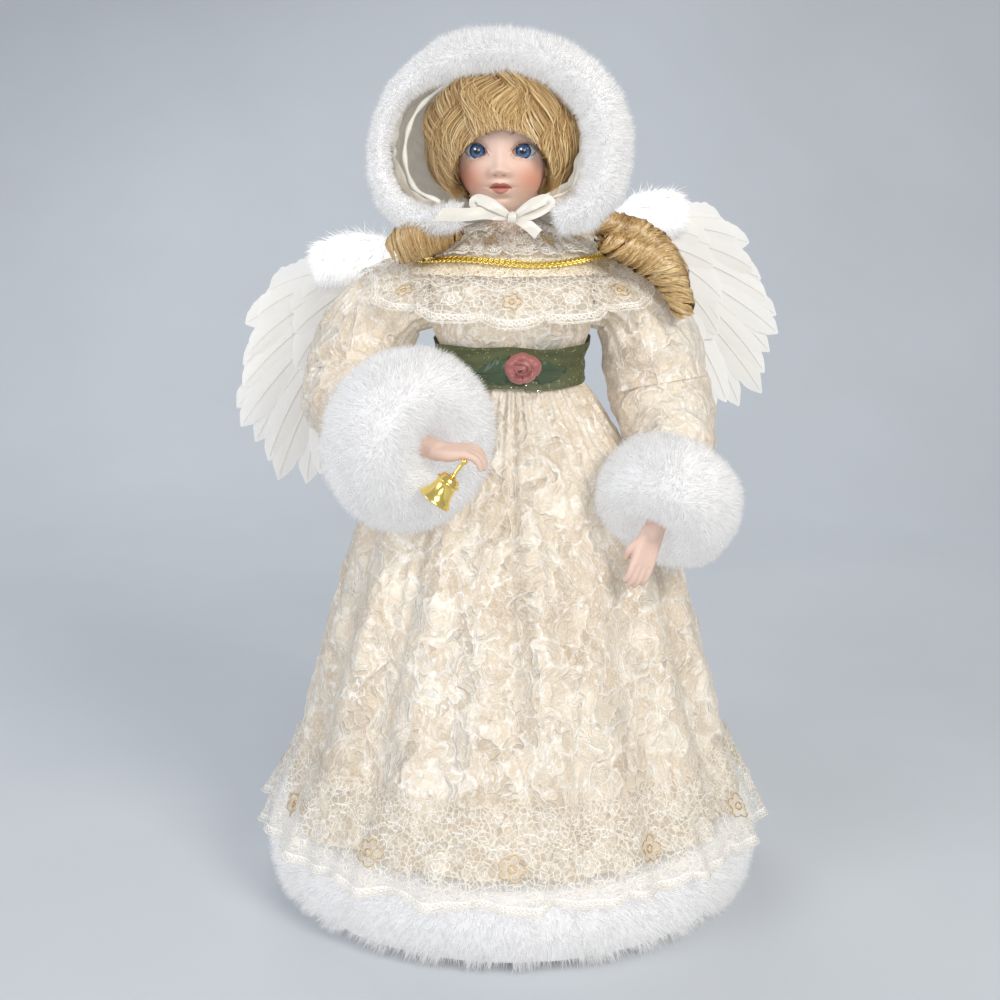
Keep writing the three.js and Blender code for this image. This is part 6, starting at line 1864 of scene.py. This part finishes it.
class Wing:
    def __init__(self, name, side, sweep, roll, forward):
        """sweep, roll and forward, how far it can swing forwards from rest, are in degrees."""
        self.name, self.side, self.sweep, self.roll, self.forward = name, side, sweep, roll, forward
        self.body = name + "_wing"

    def place(self, points):
        turned = around_z(around_y(np.asarray(points, float), -self.roll), self.sweep)
        if self.side < 0:
            turned = turned * (-1, 1, 1)
        return turned + (self.side * WING_PIN_REACH, WING_PLANE, WING_Z)

    def feather(self, vanes, shafts, root, degrees, length, width, depth, rng):
        """A blade with a raised shaft, its edges a little ragged, cupped forwards."""
        rows, columns = 44, 9
        edge_cup, tip_fall, bend = 0.9, 1.6, 0.3
        shaft_proud, shaft_radius, shaft_tip_radius = 0.35, 0.75, 0.15
        share, across = patch_grid(rows, columns)
        wide = table(BLADE_AT_SHARES, BLADE_WIDTH_SHARES, share)
        ragged = 1 + 0.05 * np.sin(share * 70 + rng.random() * 9) * np.abs(across)
        ragged = ragged + 0.04 * np.sin(share * 23 + rng.random() * 9)
        angle = np.radians(degrees - (7 + rng.normal() * 2) * share**2)
        aside = across * width / 2 * wide * ragged
        u = root[0] + length * share * np.cos(angle) - np.sin(angle) * aside
        w = root[1] + length * share * np.sin(angle) + np.cos(angle) * aside
        cup = edge_cup * across**2 * wide - tip_fall * share**2 + bend * np.sin(share * 9 + rng.random() * 6)
        points = np.stack([u, depth + cup, w], -1)
        shade = np.full_like(share, 0.35 * rng.random())
        flow = np.stack([share * length, aside, shade], -1)
        vanes.put(self.place(points), grid_faces(rows, columns), flow.reshape(-1, 3))
        line = (points[:, columns // 2] - (0, shaft_proud, 0))[::2]
        shafts.tube(self.place(line), np.linspace(shaft_radius, shaft_tip_radius, len(line)), 6)

    def row(self, node, count, scale, width, depth, shift, seed):
        """A fan of feathers, each second one a little further forwards."""
        overlap, step = 1.0, 0.03
        rng = np.random.default_rng(seed)
        vanes, shafts = Bag(), Bag()
        stations = np.linspace(0, 1, len(PRIMARY_DEGREES))
        for i in range(count):
            at = i / (count - 1)
            degrees = np.interp(at, stations, PRIMARY_DEGREES) + rng.normal() * 0.8
            size = scale * np.interp(at, stations, PRIMARY_SHARES) * (0.97 + 0.06 * rng.random())
            a = math.radians(degrees)
            out, up = FEATHERS_ROUND[0] * math.cos(a), FEATHERS_ROUND[1] * math.sin(a)
            root = FEATHERS_REACH + shift + out, FEATHERS_UP + up
            forward = depth - (i % 2) * overlap - step * i
            self.feather(vanes, shafts, root, degrees, LONG_FEATHER * size, width, forward, rng)
        stand_in(vanes.object(node + "_vanes", feather_white, self.body), node)
        shafts.object(node + "_shafts", quill, self.body)

    def meets_lace(self, points):
        """Whether points on the wing come close to the lace frill when it is swung fully forwards."""
        pin = np.array((self.side * WING_PIN_REACH, WING_PLANE, 0))
        mirror = np.array((self.side, 1, 1))
        forward = around_z((points - pin) * mirror, -self.forward) * mirror + pin
        return np.hypot(forward[:, 0] / BERTHA_CLEAR[0], forward[:, 1] / BERTHA_CLEAR[1]) < 1

    def down(self):
        """Fluff over the wing's shoulder, shorter where it could meet the lace."""
        count, width, shortest, spread = 30000, 0.45, 6, 6
        node = self.name + "_wing_down"
        surface = node_surface(node)
        stand_in(make_mesh(node + "_pad", *surface[:2], feather_fluff, self.body), node)
        roots, outward, rng = scatter(surface, count, 9)
        heading = self.place(np.array([[1.0, 0, -0.9]])) - self.place(np.zeros((1, 3)))
        lean = unit(outward * 0.55 + unit(heading) * 0.9 + rng.normal(size=roots.shape) * 0.3)
        reach = shortest + spread * rng.random((len(roots), 1))
        reach = reach * np.where(self.meets_lace(roots), 0.35, 1)[:, None]
        middles = roots + lean * reach * 0.5
        tips = middles + unit(lean + (0, 0.1, -0.25)) * reach * 0.5
        strands(node + "_fluff", roots, middles, tips, width, fur, self.body, outward)

    def make(self):
        self.row(self.name + "_wing_primaries", 17, 1.0, PRIMARY_WIDTH, PRIMARY_DEPTH, 0, 21)
        self.row(self.name + "_wing_coverts", 13, 0.62, COVERT_WIDTH, COVERT_DEPTH, -1, 22)
        self.down()


# Pieces under the cloth
def make_soft_copy(node, material, body):
    points, triangles, _, _ = node_surface(node)
    stand_in(make_mesh(node + "_cloth", points, triangles, material, body), node)


# Light, floor and camera
def area_light(name, place, size, watts, colour=(1, 1, 1)):
    """A square lamp that faces the doll's middle; its place and size are in metres."""
    middle = (0, 0, 0.24)
    lamp = bpy.data.lights.new(name, "AREA")
    lamp.energy, lamp.size, lamp.color = watts, size, colour
    made = bpy.data.objects.new(name, lamp)
    made.location = place
    made.rotation_euler = (Vector(middle) - Vector(place)).to_track_quat("-Z", "Y").to_euler()
    bpy.context.scene.collection.objects.link(made)


def make_studio():
    """A pale floor that curves up behind, so no line shows where it ends."""
    near, flat_to, bend_radius, wall_top, half_width, below = -3000, 700, 900, 4000, 5000, 0.5
    bend = np.linspace(0, math.pi / 2, 16)
    run = np.concatenate([[near, flat_to], flat_to + bend_radius * np.sin(bend[1:]), [flat_to + bend_radius]])
    rise = np.concatenate([[0, 0], bend_radius * (1 - np.cos(bend[1:])), [wall_top]]) - below
    across = np.array((-half_width, half_width))
    points = np.stack([np.tile(across, len(run)), np.repeat(run, 2), np.repeat(rise, 2)], -1)
    pale = plain("pale floor", (0.6, 0.63, 0.67), 0.9, 20, 0.0)
    make_mesh("floor", points, grid_faces(len(run), 2), pale)
    world = bpy.data.worlds.new("studio")
    bpy.context.scene.world = world
    world.use_nodes = True
    background = world.node_tree.nodes["Background"].inputs
    background["Color"].default_value = (0.9, 0.94, 1, 1)
    background["Strength"].default_value = 0.5
    area_light("key", (0.9, -1.3, 1.2), 0.6, 17, (1, 0.96, 0.87))
    area_light("fill", (-1.2, -1.0, 0.9), 0.9, 9, (0.92, 0.95, 1))
    area_light("front", (0.1, -1.7, 0.65), 0.5, 4, (1, 0.98, 0.95))
    area_light("back", (-0.3, 1.0, 1.2), 0.9, 6)


def make_camera():
    """Looks a little down on the doll from in front, as the photograph does; places are in metres."""
    distance, height, degrees_down, lens = 0.88, 0.42, 12.184, 60.04
    camera = bpy.data.objects.new("camera", bpy.data.cameras.new("camera"))
    camera.location = (0, -distance, height)
    camera.rotation_euler = (math.radians(90 - degrees_down), 0, 0)
    camera.data.lens = lens
    camera.data.shift_x, camera.data.shift_y = -0.012, -0.0366
    bpy.context.scene.collection.objects.link(camera)
    bpy.context.scene.camera = camera


make_skirt()
make_bodice()
make_fur("hem_fur", "doll", 60000, 1, hem_fur_seen)
make_fur("hood_fur", "doll", 60000, 2, pile_share=hood_pile)
make_fur("right_cuff", "right_arm", 60000, 3, swell=4)
make_fur("left_cuff", "left_arm", 60000, 4, swell=2)
make_sleeve(RIGHT_ARM)
make_sleeve(LEFT_ARM)
make_cape()
make_lace()
make_braid()
make_sash()
make_rose()
make_leaf("sash_leaf_right", -1)
make_leaf("sash_leaf_left", 1)
make_head()
make_eye("right_eye", -1)
make_eye("left_eye", 1)
make_wig()
make_curls()
make_hood()
make_bow()
make_hand(RIGHT_ARM, (0.1, 0.2, -1), 1, 0.75)
make_hand(LEFT_ARM, (-0.5, 0.8, -0.2), -1, 0.25)
make_bell()
Wing("right", -1, 0, 0, 6).make()
Wing("left", 1, 23, 17, 29).make()
make_soft_copy("torso", stuffing, "doll")
make_soft_copy("petticoat", netting, "doll")
make_soft_copy("right_arm_core", stuffing, "right_arm")
make_soft_copy("left_arm_core", stuffing, "left_arm")
carry_over(card, "tree_cone", "wing_bracket", "right_wing_card", "left_wing_card")
carry_over(steel, "shoulder_wire", "right_wing_pin", "left_wing_pin")
make_studio()
make_camera()
bpy.context.scene.view_settings.view_transform = "Standard"
